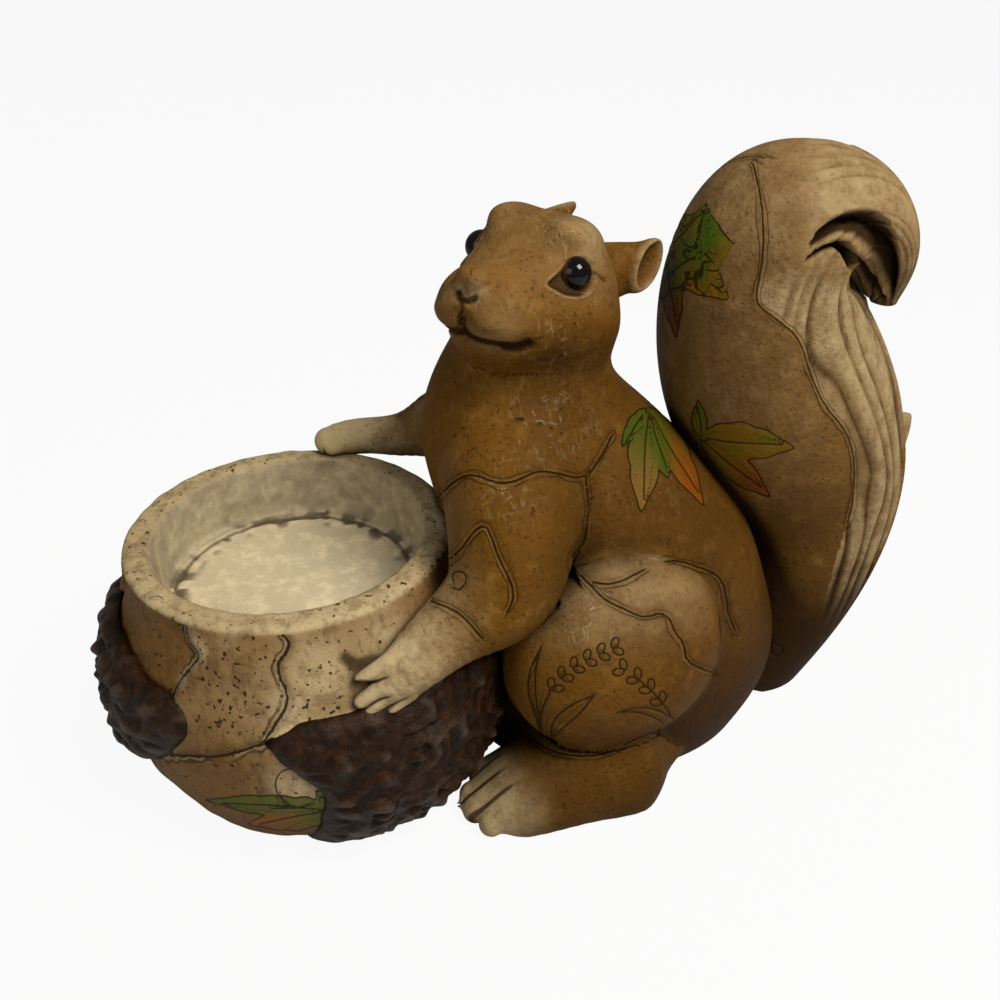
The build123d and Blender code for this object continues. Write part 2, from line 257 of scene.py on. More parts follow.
def paint_property(label, words, value):
    """A property for the colour of a paint."""
    return FloatVectorProperty(
        name=label, description=words, default=value, subtype="COLOR", min=0, max=1, size=3
    )


class FigurineSizes(bpy.types.PropertyGroup):
    """Sizes of the figurine's modelling, in millimetres."""

    skin_step: length_property("Skin step", "Spacing of the skin's points", 0.8)
    neck_blend: length_property("Neck blend", "Softness of the neck's join with the head", 8.0)
    limb_blend: length_property("Limb blend", "Softness of a foreleg's join with the body", 9.0)
    haunch_blend: length_property("Haunch blend", "Softness of the haunch's join with the body", 5.0)
    foot_blend: length_property("Foot blend", "Softness of the foot's join with the body", 7.0)
    seam_sink: length_property("Seam sink", "How far a piece dips under its neighbour", 1.0)
    husk_thickness: length_property("Husk thickness", "Thickness of the husk lobes", 5.0)
    husk_bump: length_property("Husk bumps", "Height of the husk's bumps", 1.7)
    strand_depth: length_property("Strand depth", "Depth of the tail's fur grooves", 1.0)


class FigurineColours(bpy.types.PropertyGroup):
    """Paints of the figurine."""

    fur: paint_property("Fur", "Main caramel brown", (0.165, 0.070, 0.0075))
    fur_pale: paint_property("Pale fur", "Dry-brushed tan", (0.265, 0.140, 0.028))
    # This dark colour is the antiquing in the grooves and also painted shade in folds, hollows and low places
    wash_and_shade: paint_property("Wash and shade", "Dark wash in the grooves", (0.014, 0.0055, 0.0016))
    cream: paint_property("Cream", "Cream of paws, rim and highlights", (0.49, 0.375, 0.20))
    nut: paint_property("Nut", "Tan of the nut's shell", (0.18, 0.088, 0.021))
    floor_cream: paint_property("Recess", "Pale cream inside the recess", (0.79, 0.66, 0.42))
    husk: paint_property("Husk", "Dark husk", (0.024, 0.0095, 0.0032))
    husk_pale: paint_property("Husk tips", "Rubbed tips of the husk", (0.12, 0.085, 0.06))
    leaf_green: paint_property("Leaf green", "Green of the leaves", (0.034, 0.100, 0.004))
    leaf_orange: paint_property("Leaf orange", "Orange of the leaves", (0.29, 0.076, 0.004))
    leaf_red: paint_property("Leaf red", "Red brown of the leaves", (0.11, 0.022, 0.004))
    eye: paint_property("Eye", "Black of the eyes", (0.004, 0.003, 0.003))
    eye_edge: paint_property("Eye edge", "Brown edge of the eyes", (0.06, 0.028, 0.010))
    dowel: paint_property("Dowel", "Pale wood of the dowels", (0.50, 0.34, 0.17))
    felt: paint_property("Felt", "Green felt of the pads", (0.05, 0.09, 0.04))


# Sums that shapes share


def smoothstep(low, high, value):
    """Rises from 0 at low to 1 at high on the cubic 3s^2 - 2s^3."""
    share = np.clip((value - low) / (high - low), 0, 1)
    return share * share * (3 - 2 * share)


def bell(off, width, power=2):
    """1 at zero, falling off to both sides: exp(-(off / width)^power)."""
    return np.exp(-((off / width) ** power))


def unit(vectors):
    """Vectors divided by their lengths."""
    vectors = np.asarray(vectors, float)
    return vectors / np.maximum(np.linalg.norm(vectors, axis=-1, keepdims=True), 1e-9)


def spline(knots, rows):
    """Natural cubic spline: its bends solve one linear system, and each span is a cubic in its own share."""
    knots = np.asarray(knots, float)
    rows = np.asarray(rows, float)
    gaps = np.diff(knots)
    inner = np.arange(1, len(gaps))
    system = np.eye(len(knots))
    system[inner, inner - 1] = gaps[:-1]
    system[inner, inner] = 2 * (gaps[:-1] + gaps[1:])
    system[inner, inner + 1] = gaps[1:]
    target = np.zeros_like(rows)
    target[inner] = 6 * np.diff(np.diff(rows, axis=0) / gaps[:, None], axis=0)
    bends = np.linalg.solve(system, target)

    def at(t):
        t = np.clip(t, knots[0], knots[-1])
        span = np.clip(np.searchsorted(knots, t) - 1, 0, len(gaps) - 1)
        gap = gaps[span][..., None]
        late = ((t - knots[span]) / gaps[span])[..., None]
        early = 1 - late
        curve = (early**3 - early) * bends[span] + (late**3 - late) * bends[span + 1]
        return early * rows[span] + late * rows[span + 1] + curve * gap**2 / 6

    return at


def table_spline(table):
    """Spline of a table whose first column is the place of each row."""
    ordered = np.array(sorted(table), float)
    return spline(ordered[:, 0], ordered[:, 1:])


def lengths_along(points):
    """Length of a run of straight edges up to each of its points."""
    steps = np.linalg.norm(np.diff(points, axis=0), axis=1)
    return np.concatenate([[0], np.cumsum(steps)])


def path_spline(table):
    """Spline of a table along the length of the path of its first columns, and that length."""
    rows = np.asarray(table, float)
    knots = lengths_along(rows[:, :3])
    return spline(knots, rows), knots[-1]


def soft_min(a, b, soft):
    """The lower of two fields, rounded off where they are within soft of each other."""
    near = np.clip(1 - np.abs(a - b) / soft, 0, 1)
    return np.minimum(a, b) - 0.25 * soft * near * near


def off_ellipse(*pairs):
    """Off an ellipse or ellipsoid of (offset, half size) pairs: (scaled length - 1) over its slope."""
    scaled = [offset / size for offset, size in pairs]
    length = np.sqrt(sum(s * s for s in scaled)) + 1e-9
    slope = np.sqrt(sum((s / size) ** 2 for s, (_, size) in zip(scaled, pairs))) / length
    return (length - 1) / np.maximum(slope, 1e-6)


def off_edge(p, a, b):
    """Share of the way along an edge at which each point is nearest to it, and the offset from there."""
    along = b - a
    share = np.clip(((p - a) @ along) / (along @ along), 0, 1)
    return share, p - a - share[..., None] * along


def off_path(p, points, radii):
    """Distance off a run of straight tapered rods through points."""
    points = np.asarray(points, float)
    best = np.full(p.shape[:-1], np.inf)
    for a, b, ra, rb in zip(points[:-1], points[1:], radii[:-1], radii[1:]):
        share, apart = off_edge(p, a, b)
        best = np.minimum(best, np.sqrt((apart * apart).sum(-1)) - ra - share * (rb - ra))
    return best


def lattice_noise(p, seed=0):
    """Smooth noise from -1 to 1: random values at whole-number points, blended by a cubic along each axis."""
    cell = np.floor(p).astype(np.int64)
    share = p - cell
    share = share * share * (3 - 2 * share)
    total = np.zeros(p.shape[:-1])
    for corner in np.ndindex(2, 2, 2):
        q = cell + corner
        mixed = (q[..., 0] * 73856093) ^ (q[..., 1] * 19349663) ^ (q[..., 2] * 83492791) ^ (seed * 2654435)
        mixed = ((mixed ^ (mixed >> 13)) * 1274126177) & 0x7FFFFFFF
        mixed = ((mixed ^ (mixed >> 15)) * 739981) & 0x7FFFFFFF
        weight = np.prod(np.where(np.array(corner, bool), share, 1 - share), axis=-1)
        total += weight * (mixed % 65536) / 32767.5
    return total - 1


def seen(p):
    """Where points fall in the picture, and how many of its pixels a millimetre takes up there."""
    d = p - CAMERA_AT
    scale = PICTURE / -(d @ CAMERA_BACK)
    across = PICTURE / 2 + (d @ CAMERA_RIGHT) * scale
    down = PICTURE / 2 - (d @ CAMERA_UP) * scale
    return np.stack([across, down], axis=-1), scale


# Fields of the body's pieces: below zero inside, above zero outside

torso_rows = table_spline(TORSO_ROWS)
head_rows = table_spline(HEAD_ROWS)
foot_rows = table_spline(FOOT_ROWS)
nut_rows = table_spline(NUT_ROWS)

head_ahead = np.array((
    -np.cos(HEAD_TURN) * np.cos(HEAD_LIFT),
    -np.sin(HEAD_TURN) * np.cos(HEAD_LIFT),
    np.sin(HEAD_LIFT),
))
head_side = np.array((np.sin(HEAD_TURN), -np.cos(HEAD_TURN), 0.0))
head_left = head_side * np.cos(HEAD_ROLL) + np.cross(head_ahead, head_side) * np.sin(HEAD_ROLL)
HEAD_AXES = np.stack([head_ahead, head_left, np.cross(head_ahead, head_left)])


def to_head(p):
    """Points in the head's own axes."""
    return (p - HEAD_CENTRE) @ HEAD_AXES.T


def from_head(q):
    """Points given in the head's own axes."""
    return HEAD_CENTRE + np.asarray(q, float) @ HEAD_AXES


def near_side(p):
    """Points in the head's axes, those of its narrower far side brought over to the near side."""
    q = to_head(p)
    narrow = 1 + FAR_SQUEEZE * smoothstep(*CHEEK_FADE, q[..., 0]) * (q[..., 1] < 0)
    return np.stack([q[..., 0], np.abs(q[..., 1]) * narrow, q[..., 2]], axis=-1)


def nut_field(p):
    """Off the nut's flank: distance from its axis at that height, less the radius there."""
    middle, radius = np.moveaxis(nut_rows(p[..., 2]), -1, 0)
    return np.hypot(p[..., 0] - middle, p[..., 1]) - radius


def bowl_field(p):
    """Off the bowl: the nut below its rim, less the recess."""
    solid = np.maximum(nut_field(p), p[..., 2] - BOWL_HEIGHT)
    recess = np.maximum(np.hypot(p[..., 0] - BOWL_X, p[..., 1]) - RECESS_RADIUS, RECESS_FLOOR - p[..., 2])
    return np.maximum(solid, -recess)


def torso_field(p):
    """Off the torso: an ellipse at each height, shrinking to a dome above the neck."""
    height = p[..., 2]
    middle, length, width = np.moveaxis(torso_rows(height), -1, 0)
    dome = np.sqrt(1 - np.clip((height - NECK_TOP) / NECK_DOME, 0, 0.99) ** 2)
    above = np.maximum(height - NECK_TOP - 0.9 * NECK_DOME, 0)
    return off_ellipse((p[..., 0] - middle, length * dome), (p[..., 1], width * dome)) + above


def off_drawn(uv, line):
    """Pixels off a smooth line through points, and on which side: 1 below a line that runs right."""
    path, length = path_spline(line)
    points = path(np.linspace(0, length, max(int(length / 6), 9)))
    best = np.full(uv.shape[:-1], np.inf)
    right = np.ones(uv.shape[:-1])
    for a, b in zip(points[:-1], points[1:]):
        along = b - a
        apart = uv - a
        off = np.linalg.norm(off_edge(uv, a, b)[1], axis=-1)
        right = np.where(off < best, np.sign(along[0] * apart[..., 1] - along[1] * apart[..., 0]), right)
        best = np.minimum(best, off)
    return best, right


def closed_line(outline, count):
    """Points spaced evenly along a smooth closed line through an outline's points."""
    loop = np.array([*outline[-2:], *outline, *outline[:3]], float)
    steps = lengths_along(loop)
    return spline(steps, loop)(np.linspace(steps[2], steps[2 + len(outline)], count, endpoint=False))


def off_outline(uv, outline):
    """Pixels off a closed outline, below zero inside: each edge crossed to the right turns inside about."""
    points = closed_line(outline, 4 * len(outline))
    best = np.full(uv.shape[:-1], np.inf)
    inside = np.zeros(uv.shape[:-1], bool)
    for a, b in zip(points, np.roll(points, -1, axis=0)):
        along = b - a
        apart = uv - a
        best = np.minimum(best, np.linalg.norm(off_edge(uv, a, b)[1], axis=-1))
        crossed = (a[1] > uv[..., 1]) != (b[1] > uv[..., 1])
        inside ^= crossed & (apart[..., 0] < along[0] * apart[..., 1] / (along[1] if along[1] else 1e-9))
    return np.where(inside, -best, best)


def face_lines(q):
    """Distances in millimetres off the face's lines for points in the head's axes on its near side."""
    off = {name: np.full(q.shape[:-1], FAR) for name in (*FACE_LINES, "eye")}
    off["below"] = np.full(q.shape[:-1], -FAR)
    face = (q[..., 0] > 8) & (q[..., 2] < 4)
    eye = np.linalg.norm(q - EYE_SEAT, axis=-1) < 13
    for name, line in FACE_LINES.items():
        here = eye if name == "crease" else face
        uv, scale = seen(from_head(q[here]))
        distance, side = off_drawn(uv, line)
        off[name][here] = distance / scale
        if name == "mouth":
            off["below"][here] = distance * side / scale
    uv, scale = seen(from_head(q[eye]))
    off["eye"][eye] = off_outline(uv, EYE_OPENING) / scale
    return off


def off_sections(q, rows, reach, ends, most):
    """Off a run of ellipses along the first axis, from rows of middle and half sizes, with rounded ends."""
    along = np.clip(q[..., 0], *reach)
    middle, width, tall = np.moveaxis(rows(along), -1, 0)
    past = np.zeros_like(along)
    for start, end in ends:
        past = np.maximum(past, np.clip((along - start) / (end - start), 0, most))
    shrink = np.sqrt(1 - past * past)
    field = off_ellipse((q[..., 1], width * shrink), (q[..., 2] - middle, tall * shrink))
    return field + np.abs(q[..., 0] - along)


def off_ellipsoid(q, size):
    """Off an ellipsoid of given half sizes."""
    return off_ellipse(*((q[..., i], size[i]) for i in range(3)))


def head_field(p):
    """Off the head: a run of ellipses with lumps joined on, and mouth, nose and lids cut in."""
    q = near_side(p)
    field = off_sections(q, head_rows, HEAD_REACH, HEAD_ROUND, 0.999)
    for centre, size, soft in HEAD_LUMPS:
        field = soft_min(field, off_ellipsoid(q - centre, size), soft)
    off = face_lines(q)
    for name, (depth, half) in FACE_CUTS.items():
        field = field + depth * bell(off[name], half)
    chin = smoothstep(-0.4, 0.6, off["below"]) * bell(off["mouth"], 5.0)
    pad = bell(off["below"] + 3.0, 2.4)
    field = field + smoothstep(*LIPS_FADE, q[..., 0]) * (1.1 * chin - 0.7 * pad)
    lids = 0.45 * bell(off["eye"] - 0.5, 0.6) - 1.5 * smoothstep(0.2, -0.9, off["eye"])
    return field - lids


def mirrored(p, side):
    """Points with the squirrel's given side turned to the right-hand side of Y."""
    return p * np.array((1.0, -side, 1.0))


def haunch_field(p, side):
    """Off the haunch: one ellipsoid."""
    return off_ellipsoid(mirrored(p, side) - HAUNCH_CENTRE, HAUNCH_SIZE)


def foot_field(p, side):
    """Off the foot: a run of ellipses, with four toes as rods joined to its front."""
    q = mirrored(p, side) - (0.0, FOOT_Y, 0.0)
    toes = np.full(q.shape[:-1], np.inf)
    for across, tip in TOES:
        rod = [(-10.0, 0.85 * across, 8.5), (-20.0, across, 6.5), (tip + 4, across, 4.0)]
        toes = soft_min(toes, off_path(q, rod, TOE_RADII), 0.8)
    return soft_min(off_sections(q, foot_rows, FOOT_REACH, FOOT_ROUND, 0.99), toes, 2.0)


FORELEG_PATHS = {}
for foreleg, table in FORELEG_ROWS.items():
    sign = -1.0 if foreleg.endswith("left") else 1.0
    flipped = np.array(table) * np.array((1.0, sign, 1.0, 1.0))
    FORELEG_PATHS[foreleg] = path_spline(flipped)


def foreleg_fingers(name):
    """Four fingers spread over the bowl from a paw: each is a run of points and radii."""
    path, length = FORELEG_PATHS[name]
    palm = path(np.array([length - 8.0]))[0, :3]
    along = unit(path(np.array([length]))[0, :3] - path(np.array([length - 10.0]))[0, :3])
    middle, _ = nut_rows(palm[2:3])[0]
    out = unit((palm - (middle, 0, palm[2])) * (1, 1, 0) + (0, 0, 0.35 * np.hypot(palm[0] - middle, palm[1])))
    if name == "foreleg_right":
        out = np.array((0.0, 0.0, 1.0))
    across = np.cross(along, out)
    reach, gap, thick = (17.5, 3.7, 2.2) if name == "foreleg_left" else (9.0, 2.6, 1.9)
    fingers = []
    for i, short in zip((-1.5, -0.5, 0.5, 1.8), (2.0, 0.4, 0.0, 3.4)):
        root = palm + across * i * gap * 0.8
        knuckle = palm + along * (reach * 0.55 - short) + across * i * gap + out * 0.9
        tip = palm + along * (reach - short) + across * i * gap * 1.06 - out * 1.4
        fingers.append((np.array([root, knuckle, tip]), (thick * 1.1, thick * 1.06, thick * 0.86)))
    return fingers


FORELEG_FINGERS = {name: foreleg_fingers(name) for name in FORELEG_PATHS}


def foreleg_field(p, name):
    """Off a foreleg: a tapered tube along its path, with fingers joined to its end."""
    path, length = FORELEG_PATHS[name]
    rows = path(np.linspace(0, length, 20))
    field = off_path(p, rows[:, :3], rows[:, 3])
    fingers = np.full(field.shape, np.inf)
    for points, radii in FORELEG_FINGERS[name]:
        fingers = soft_min(fingers, off_path(p, points, radii), 0.6)
    return soft_min(field, fingers, 2.2)


FIELDS = {
    "torso": torso_field,
    "head": head_field,
    "foreleg_left": lambda p: foreleg_field(p, "foreleg_left"),
    "foreleg_right": lambda p: foreleg_field(p, "foreleg_right"),
    "haunch_left": lambda p: haunch_field(p, 1.0),
    "haunch_right": lambda p: haunch_field(p, -1.0),
    "foot_left": lambda p: foot_field(p, 1.0),
    "foot_right": lambda p: foot_field(p, -1.0),
}


def joined(fields, sizes):
    """Blends the named fields into one skin, each join as soft as its kind."""
    softness = {
        "head": sizes.neck_blend,
        "foreleg": sizes.limb_blend,
        "haunch": sizes.haunch_blend,
        "foot": sizes.foot_blend,
    }
    skin = None
    for name in FIELDS:
        if name not in fields:
            continue
        if skin is None:
            skin = fields[name]
        else:
            skin = soft_min(skin, fields[name], softness[name.split("_")[0]])
    return skin


# Grids of rays and the skin along them


def ray_grid(path, around, fan_rows=0, first=(0.0, 0.0, 1.0)):
    """Rays out of a path: rings square to it and, where asked for, fans of rings that close over its ends."""
    tangents = unit(np.gradient(path, axis=0))
    sides = unit(np.cross(tangents, first))
    ups = np.cross(sides, tangents)
    turn = np.linspace(0, 2 * np.pi, around, endpoint=False)[None, :, None]
    rays = np.cos(turn) * sides[:, None] + np.sin(turn) * ups[:, None]
    starts = np.repeat(path[:, None], around, axis=1)
    if fan_rows:
        fan = np.linspace(0, np.pi / 2, fan_rows + 1)[1:-1, None, None]
        behind = (np.cos(fan) * rays[0] - np.sin(fan) * tangents[0])[::-1]
        ahead = np.cos(fan) * rays[-1] + np.sin(fan) * tangents[-1]
        first_starts = np.broadcast_to(path[0], behind.shape)
        last_starts = np.broadcast_to(path[-1], ahead.shape)
        rays = np.concatenate([behind, rays, ahead])
        starts = np.concatenate([first_starts, starts, last_starts])
    return starts, rays


def march(starts, rays, field, begin, rounds, reach=np.inf):
    """Secant steps along each ray, out of the inside, to where the field is zero."""
    top = begin + reach
    r = np.array(begin, float)
    value = field(starts + r[..., None] * rays)
    slope = np.ones_like(r)
    for _ in range(rounds):
        moved = np.clip(r - np.clip(value / slope, -8, 3), RAY_START, top)
        new = field(starts + moved[..., None] * rays)
        went = moved - r
        rise = np.clip((new - value) / np.where(went == 0, 1, went), 0.3, 1.3)
        slope = np.where(np.abs(went) > 1e-4, rise, slope)
        r, value = moved, new
    return r


def skin_of(name, near, starts, rays, sizes):
    """Skin of one piece: grown to the blended body up to each seam, dipped under the neighbour beyond it."""
    own = march(starts, rays, FIELDS[name], np.full(rays.shape[:-1], RAY_START), 22)

    def values(p):
        return {key: FIELDS[key](p) for key in (name, *near)}

    def clear_of_bowl(p):
        return np.maximum(joined(values(p), sizes), -bowl_field(p) + BOWL_GAP)

    r = march(starts, rays, clear_of_bowl, np.maximum(own - 1.0, RAY_START), 14, SWELL_REACH)
    fields = values(starts + r[..., None] * rays)
    mine = fields.pop(name)
    over = mine - np.minimum.reduce(list(fields.values()))
    dip = smoothstep(*SEAM_DIP, over)
    r = (1 - dip) * r + dip * (np.minimum(r, own) - sizes.seam_sink)
    p = starts + np.maximum(r, RAY_START)[..., None] * rays
    return np.concatenate([p[..., :2], np.maximum(p[..., 2:], BASE_Z)], axis=-1)


# Meshes


def grid_normals(grid):
    """Unit normals of a grid that closes round: cross product of the differences along and around."""
    down = np.gradient(grid, axis=0)
    around = np.roll(grid, -1, axis=1) - np.roll(grid, 1, axis=1)
    normals = unit(np.cross(around, down))
    middle = grid.mean(axis=1, keepdims=True)
    outward = np.sign(((grid - middle) * normals).sum())
    return normals * (outward if outward else 1.0)


def closed_mesh(name, parts, marks, material):
    """One mesh of closed grids: quads round each grid, and a fan of triangles that closes each end."""
    points, loops, starts, offset, loop_count = [], [], [], 0, 0
    for grid, ends in parts:
        rows, around, _ = grid.shape
        col = np.arange(around)
        turned = (col + 1) % around
        row = (np.arange(rows - 1) * around)[:, None]
        below = row + around
        quads = np.stack([row + col, row + turned, below + turned, below + col], -1).reshape(-1, 4)
        last = (rows - 1) * around
        fan_a = np.stack([np.full(around, rows * around), turned, col], -1)
        fan_b = np.stack([np.full(around, rows * around + 1), last + col, last + turned], -1)
        co = np.concatenate([grid.reshape(-1, 3), ends])
        fans = np.concatenate([fan_a, fan_b])
        tris = np.concatenate([quads[:, :3], quads[:, [0, 2, 3]], fans])
        corners = co[tris]
        inside_out = np.einsum("ij,ij->", corners[:, 0], np.cross(corners[:, 1], corners[:, 2])) < 0
        if inside_out:
            quads, fans = quads[:, ::-1], fans[:, ::-1]
        starts += [loop_count + 4 * np.arange(len(quads)), loop_count + quads.size + 3 * np.arange(len(fans))]
        loops += [quads.ravel() + offset, fans.ravel() + offset]
        loop_count += quads.size + fans.size
        points.append(co)
        offset += len(co)
    points = np.concatenate(points)
    loops = np.concatenate(loops)
    starts = np.concatenate(starts)
    mesh = bpy.data.meshes.new(name)
    mesh.vertices.add(len(points))
    mesh.vertices.foreach_set("co", (points * MM).astype(np.float32).ravel())
    mesh.loops.add(len(loops))
    mesh.loops.foreach_set("vertex_index", loops.astype(np.int32))
    mesh.polygons.add(len(starts))
    mesh.polygons.foreach_set("loop_start", starts.astype(np.int32))
    mesh.polygons.foreach_set("use_smooth", np.ones(len(starts), bool))
    mesh.update(calc_edges=True)
    for key, values in marks.items():
        if values.ndim == 2:
            layer = mesh.attributes.new(key, "FLOAT_COLOR", "POINT")
            layer.data.foreach_set("color", values.astype(np.float32).ravel())
        else:
            layer = mesh.attributes.new(key, "FLOAT", "POINT")
            layer.data.foreach_set("value", values.astype(np.float32))
    mesh.materials.append(material)
    piece = bpy.data.objects.new(name, mesh)
    bpy.context.collection.objects.link(piece)
    return piece


def settle(piece, node):
    """Fixes a piece to the body in place of its CAD node, which it hides."""
    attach(piece, "root")
    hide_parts(node)


def place_rows(length, step):
    """How many rows a length takes."""
    return max(int(round(length / (step * GRID_SCALE))), 8)


def end_points(grid):
    """Points that close a grid's two ends: the mean of the ring at each end."""
    return np.stack([grid[0].mean(axis=0), grid[-1].mean(axis=0)])


# Drawing on the skin: lines and leaves are laid down from the camera's place, and from its mirror image

MIRROR_SHIFT = np.array((9.0, -7.0))
# Scored seams, in the picture's pixels: the pieces they cross, then their points
SEAMS = [
    (("torso", "foreleg_left", "foreleg_right"), [
        (431, 512), (434, 504), (442, 493), (457, 480), (470, 475), (485, 479), (500, 483), (515, 481),
        (537, 472), (559, 474), (585, 476), (598, 462), (604, 452), (612, 436),
    ]),
    (("torso", "foreleg_left", "foreleg_right", "hind_leg"), [
        (586, 480), (588, 506), (587, 525), (584, 543), (576, 552), (571, 560), (578, 573), (591, 586),
        (607, 601), (626, 610), (646, 617), (661, 614), (670, 620), (675, 632), (683, 643), (687, 660),
        (698, 667), (713, 673),
    ]),
    (("foreleg_left", "foreleg_right", "torso"), [
        (446, 562), (461, 549), (472, 534), (483, 526), (492, 539), (498, 556), (505, 571), (511, 584),
        (513, 599), (508, 611),
    ]),
    (("foreleg_left",), [(431, 601), (448, 608), (463, 617), (472, 627), (481, 637)]),
    (("hind_leg", "torso"), [
        (594, 583), (615, 583), (637, 573), (654, 565), (676, 561), (698, 567), (719, 578), (726, 595),
        (728, 612), (735, 630),
    ]),
    (("hind_leg",), [
        (526, 730), (531, 736), (542, 745), (559, 753), (580, 756), (607, 753), (628, 743), (650, 734),
        (670, 729), (689, 719), (709, 701), (717, 680),
    ]),
    (("tail",), [
        (753, 165), (759, 190), (763, 225), (762, 260), (757, 290), (757, 302), (766, 312), (782, 324),
        (797, 338), (806, 360), (815, 385), (830, 412), (843, 428), (851, 445), (854, 480), (852, 505),
        (847, 525),
    ]),
]
# Fine scratched lines: stems, blades and curls
SCRATCHES = [
    (("hind_leg",), [(543, 735), (541, 716), (546, 700), (552, 688)]),
    (("hind_leg",), [(550, 741), (554, 721), (572, 705), (594, 695)]),
    (("hind_leg",), [(551, 741), (564, 727), (578, 715), (594, 695)]),
    (("hind_leg",), [(541, 735), (534, 712), (528, 690), (531, 668), (541, 647)]),
    (("hind_leg",), [(541, 733), (538, 712), (535, 690), (536, 668), (541, 647)]),
    (("hind_leg",), [(672, 718), (662, 703), (650, 690), (636, 678)]),
    (("hind_leg",), [(617, 713), (637, 708), (656, 710), (674, 719)]),
    (("hind_leg",), [(617, 713), (633, 712), (648, 715), (662, 722)]),
    (("foreleg_left",), [(453, 581), (452, 575), (459, 571), (466, 576), (464, 585), (459, 590), (453, 588)]),
    (("tail",), [(764, 632), (772, 636), (771, 648), (777, 656), (784, 650), (776, 645)]),
]
# Ears of grain: stem from root to tip, how many pairs of grains
GRAINS = [
    (((549, 694), (560, 680), (580, 664), (612, 649)), 6),
    (((664, 706), (652, 692), (640, 681), (625, 671)), 4),
]
GRAIN_SIZE = (5.6, 3.5)
# Leaves: the pieces they lie on, their root, then for each lobe its tip, half width and paint
LEAVES = [
    (("torso",), (650, 408), [
        ((621, 447), 9, "green"), ((641, 513), 16, "tan"),
        ((668, 478), 17, "green"), ((704, 506), 13, "orange"),
    ]),
    (("tail",), (668, 246), [
        ((702, 214), 15, "green"), ((729, 301), 17, "green"),
        ((702, 297), 12, "orange"), ((676, 338), 10, "red"),
    ]),
    (("tail",), (700, 437), [
        ((795, 448), 17, "green"), ((770, 497), 14, "red"),
        ((716, 478), 9, "red"), ((698, 400), 7, "green"),
    ]),
    (("nut",), (335, 812), [
        ((205, 800), 10, "green"), ((248, 824), 12, "orange"),
        ((262, 806), 11, "green"), ((316, 790), 8, "green"),
    ]),
]
# Dry-brushed patches: middle in the picture, radius, strength
HATCHED = [
    ((552, 425), 34, 1.0),
    ((556, 345), 28, 0.7),
    ((572, 235), 30, 0.7),
    ((590, 610), 30, 1.0),
    ((510, 490), 30, 0.6),
    ((650, 470), 45, 0.35),
    ((450, 660), 40, 0.3),
]


def pictures(p, normals):
    """From the camera, then its mirror image: pixels, pixels per millimetre, whether the skin faces it."""
    for mirror in (np.array((1.0, 1.0, 1.0)), np.array((1.0, -1.0, 1.0))):
        uv, scale = seen(p * mirror)
        to_camera = unit(CAMERA_AT - p * mirror)
        facing = (to_camera * normals * mirror).sum(-1) > 0.02
        yield uv - (MIRROR_SHIFT if mirror[1] < 0 else 0), scale, facing


def patch(uv, middle, radius):
    """A soft round patch in the picture."""
    return bell(np.linalg.norm(uv - np.array(middle, float), axis=-1), radius)


def no_lines(p):
    """Distances to start from where no line is in reach: off the nearest line, and across it."""
    return np.full(p.shape[:-1], FAR), np.full(p.shape[:-1], FAR)


def nearer_line(best, off, side, where):
    """Keeps the nearer of two sets of lines: distance off them and signed distance across them."""
    closer = where & (off < best[0])
    return np.where(closer, off, best[0]), np.where(closer, off * side, best[1])


def drawn_lines(table, kind, p, normals):
    """Millimetres off the nearest of a table's lines that cross a piece, and the same across it, signed."""
    best = no_lines(p)
    for uv, scale, facing in pictures(p, normals):
        for kinds, line in table:
            if kind in kinds:
                off, side = off_drawn(uv, line)
                best = nearer_line(best, off / scale, side, facing)
    return best


def grain_outlines(uv):
    """Signed pixels off each grain of the ears of grain: pairs of ellipses that lean out from a stem."""
    for stem, pairs in GRAINS:
        path, length = path_spline(stem)
        for place in np.linspace(0.06, 1.0, pairs) * length:
            before, root = path(np.array([place - 3, place]))
            along = unit(root - before)
            for lean in (0.75, -0.75):
                turned = along @ np.array(((np.cos(lean), np.sin(lean)), (-np.sin(lean), np.cos(lean))))
                apart = uv - (root + turned * (GRAIN_SIZE[0] + 1.0))
                across = apart[..., 0] * turned[1] - apart[..., 1] * turned[0]
                yield off_ellipse((apart @ turned, GRAIN_SIZE[0]), (across, GRAIN_SIZE[1]))


def scratch_lines(kind, p, normals):
    """Like the drawn lines, for scratched stems, blades and curls and for the grains on the hind legs."""
    best = drawn_lines(SCRATCHES, kind, p, normals)
    if kind == "hind_leg":
        for uv, scale, facing in pictures(p, normals):
            for grain in grain_outlines(uv):
                best = nearer_line(best, np.abs(grain) / scale, np.sign(grain), facing)
    return best


def leaf_lobe(uv, root, tip, half):
    """One lobe of a leaf: pixels off its outline, across its rib and past the rib's ends, share along it."""
    along = np.array(tip, float) - root
    length = np.linalg.norm(along)
    apart = uv - np.array(root, float)
    share = (apart @ along) / length**2
    across = (apart[..., 0] * along[1] - apart[..., 1] * along[0]) / length
    bow = np.clip(share, 0, 1)
    wide = half * (1 + 0.16 * np.abs(np.sin(3.5 * np.pi * bow))) * np.sin(np.pi * bow**0.75) ** 0.9
    past = np.maximum(np.maximum(share - 1, -share), 0) * length
    lobe = np.hypot(np.maximum(np.abs(across) - wide, 0), past) + np.minimum(np.abs(across) - wide, 0)
    rib_ends = np.maximum(np.maximum(share - 0.86, 0.06 - share), 0) * length
    return lobe, across + 1.5 * np.sin(5 * bow), rib_ends, bow


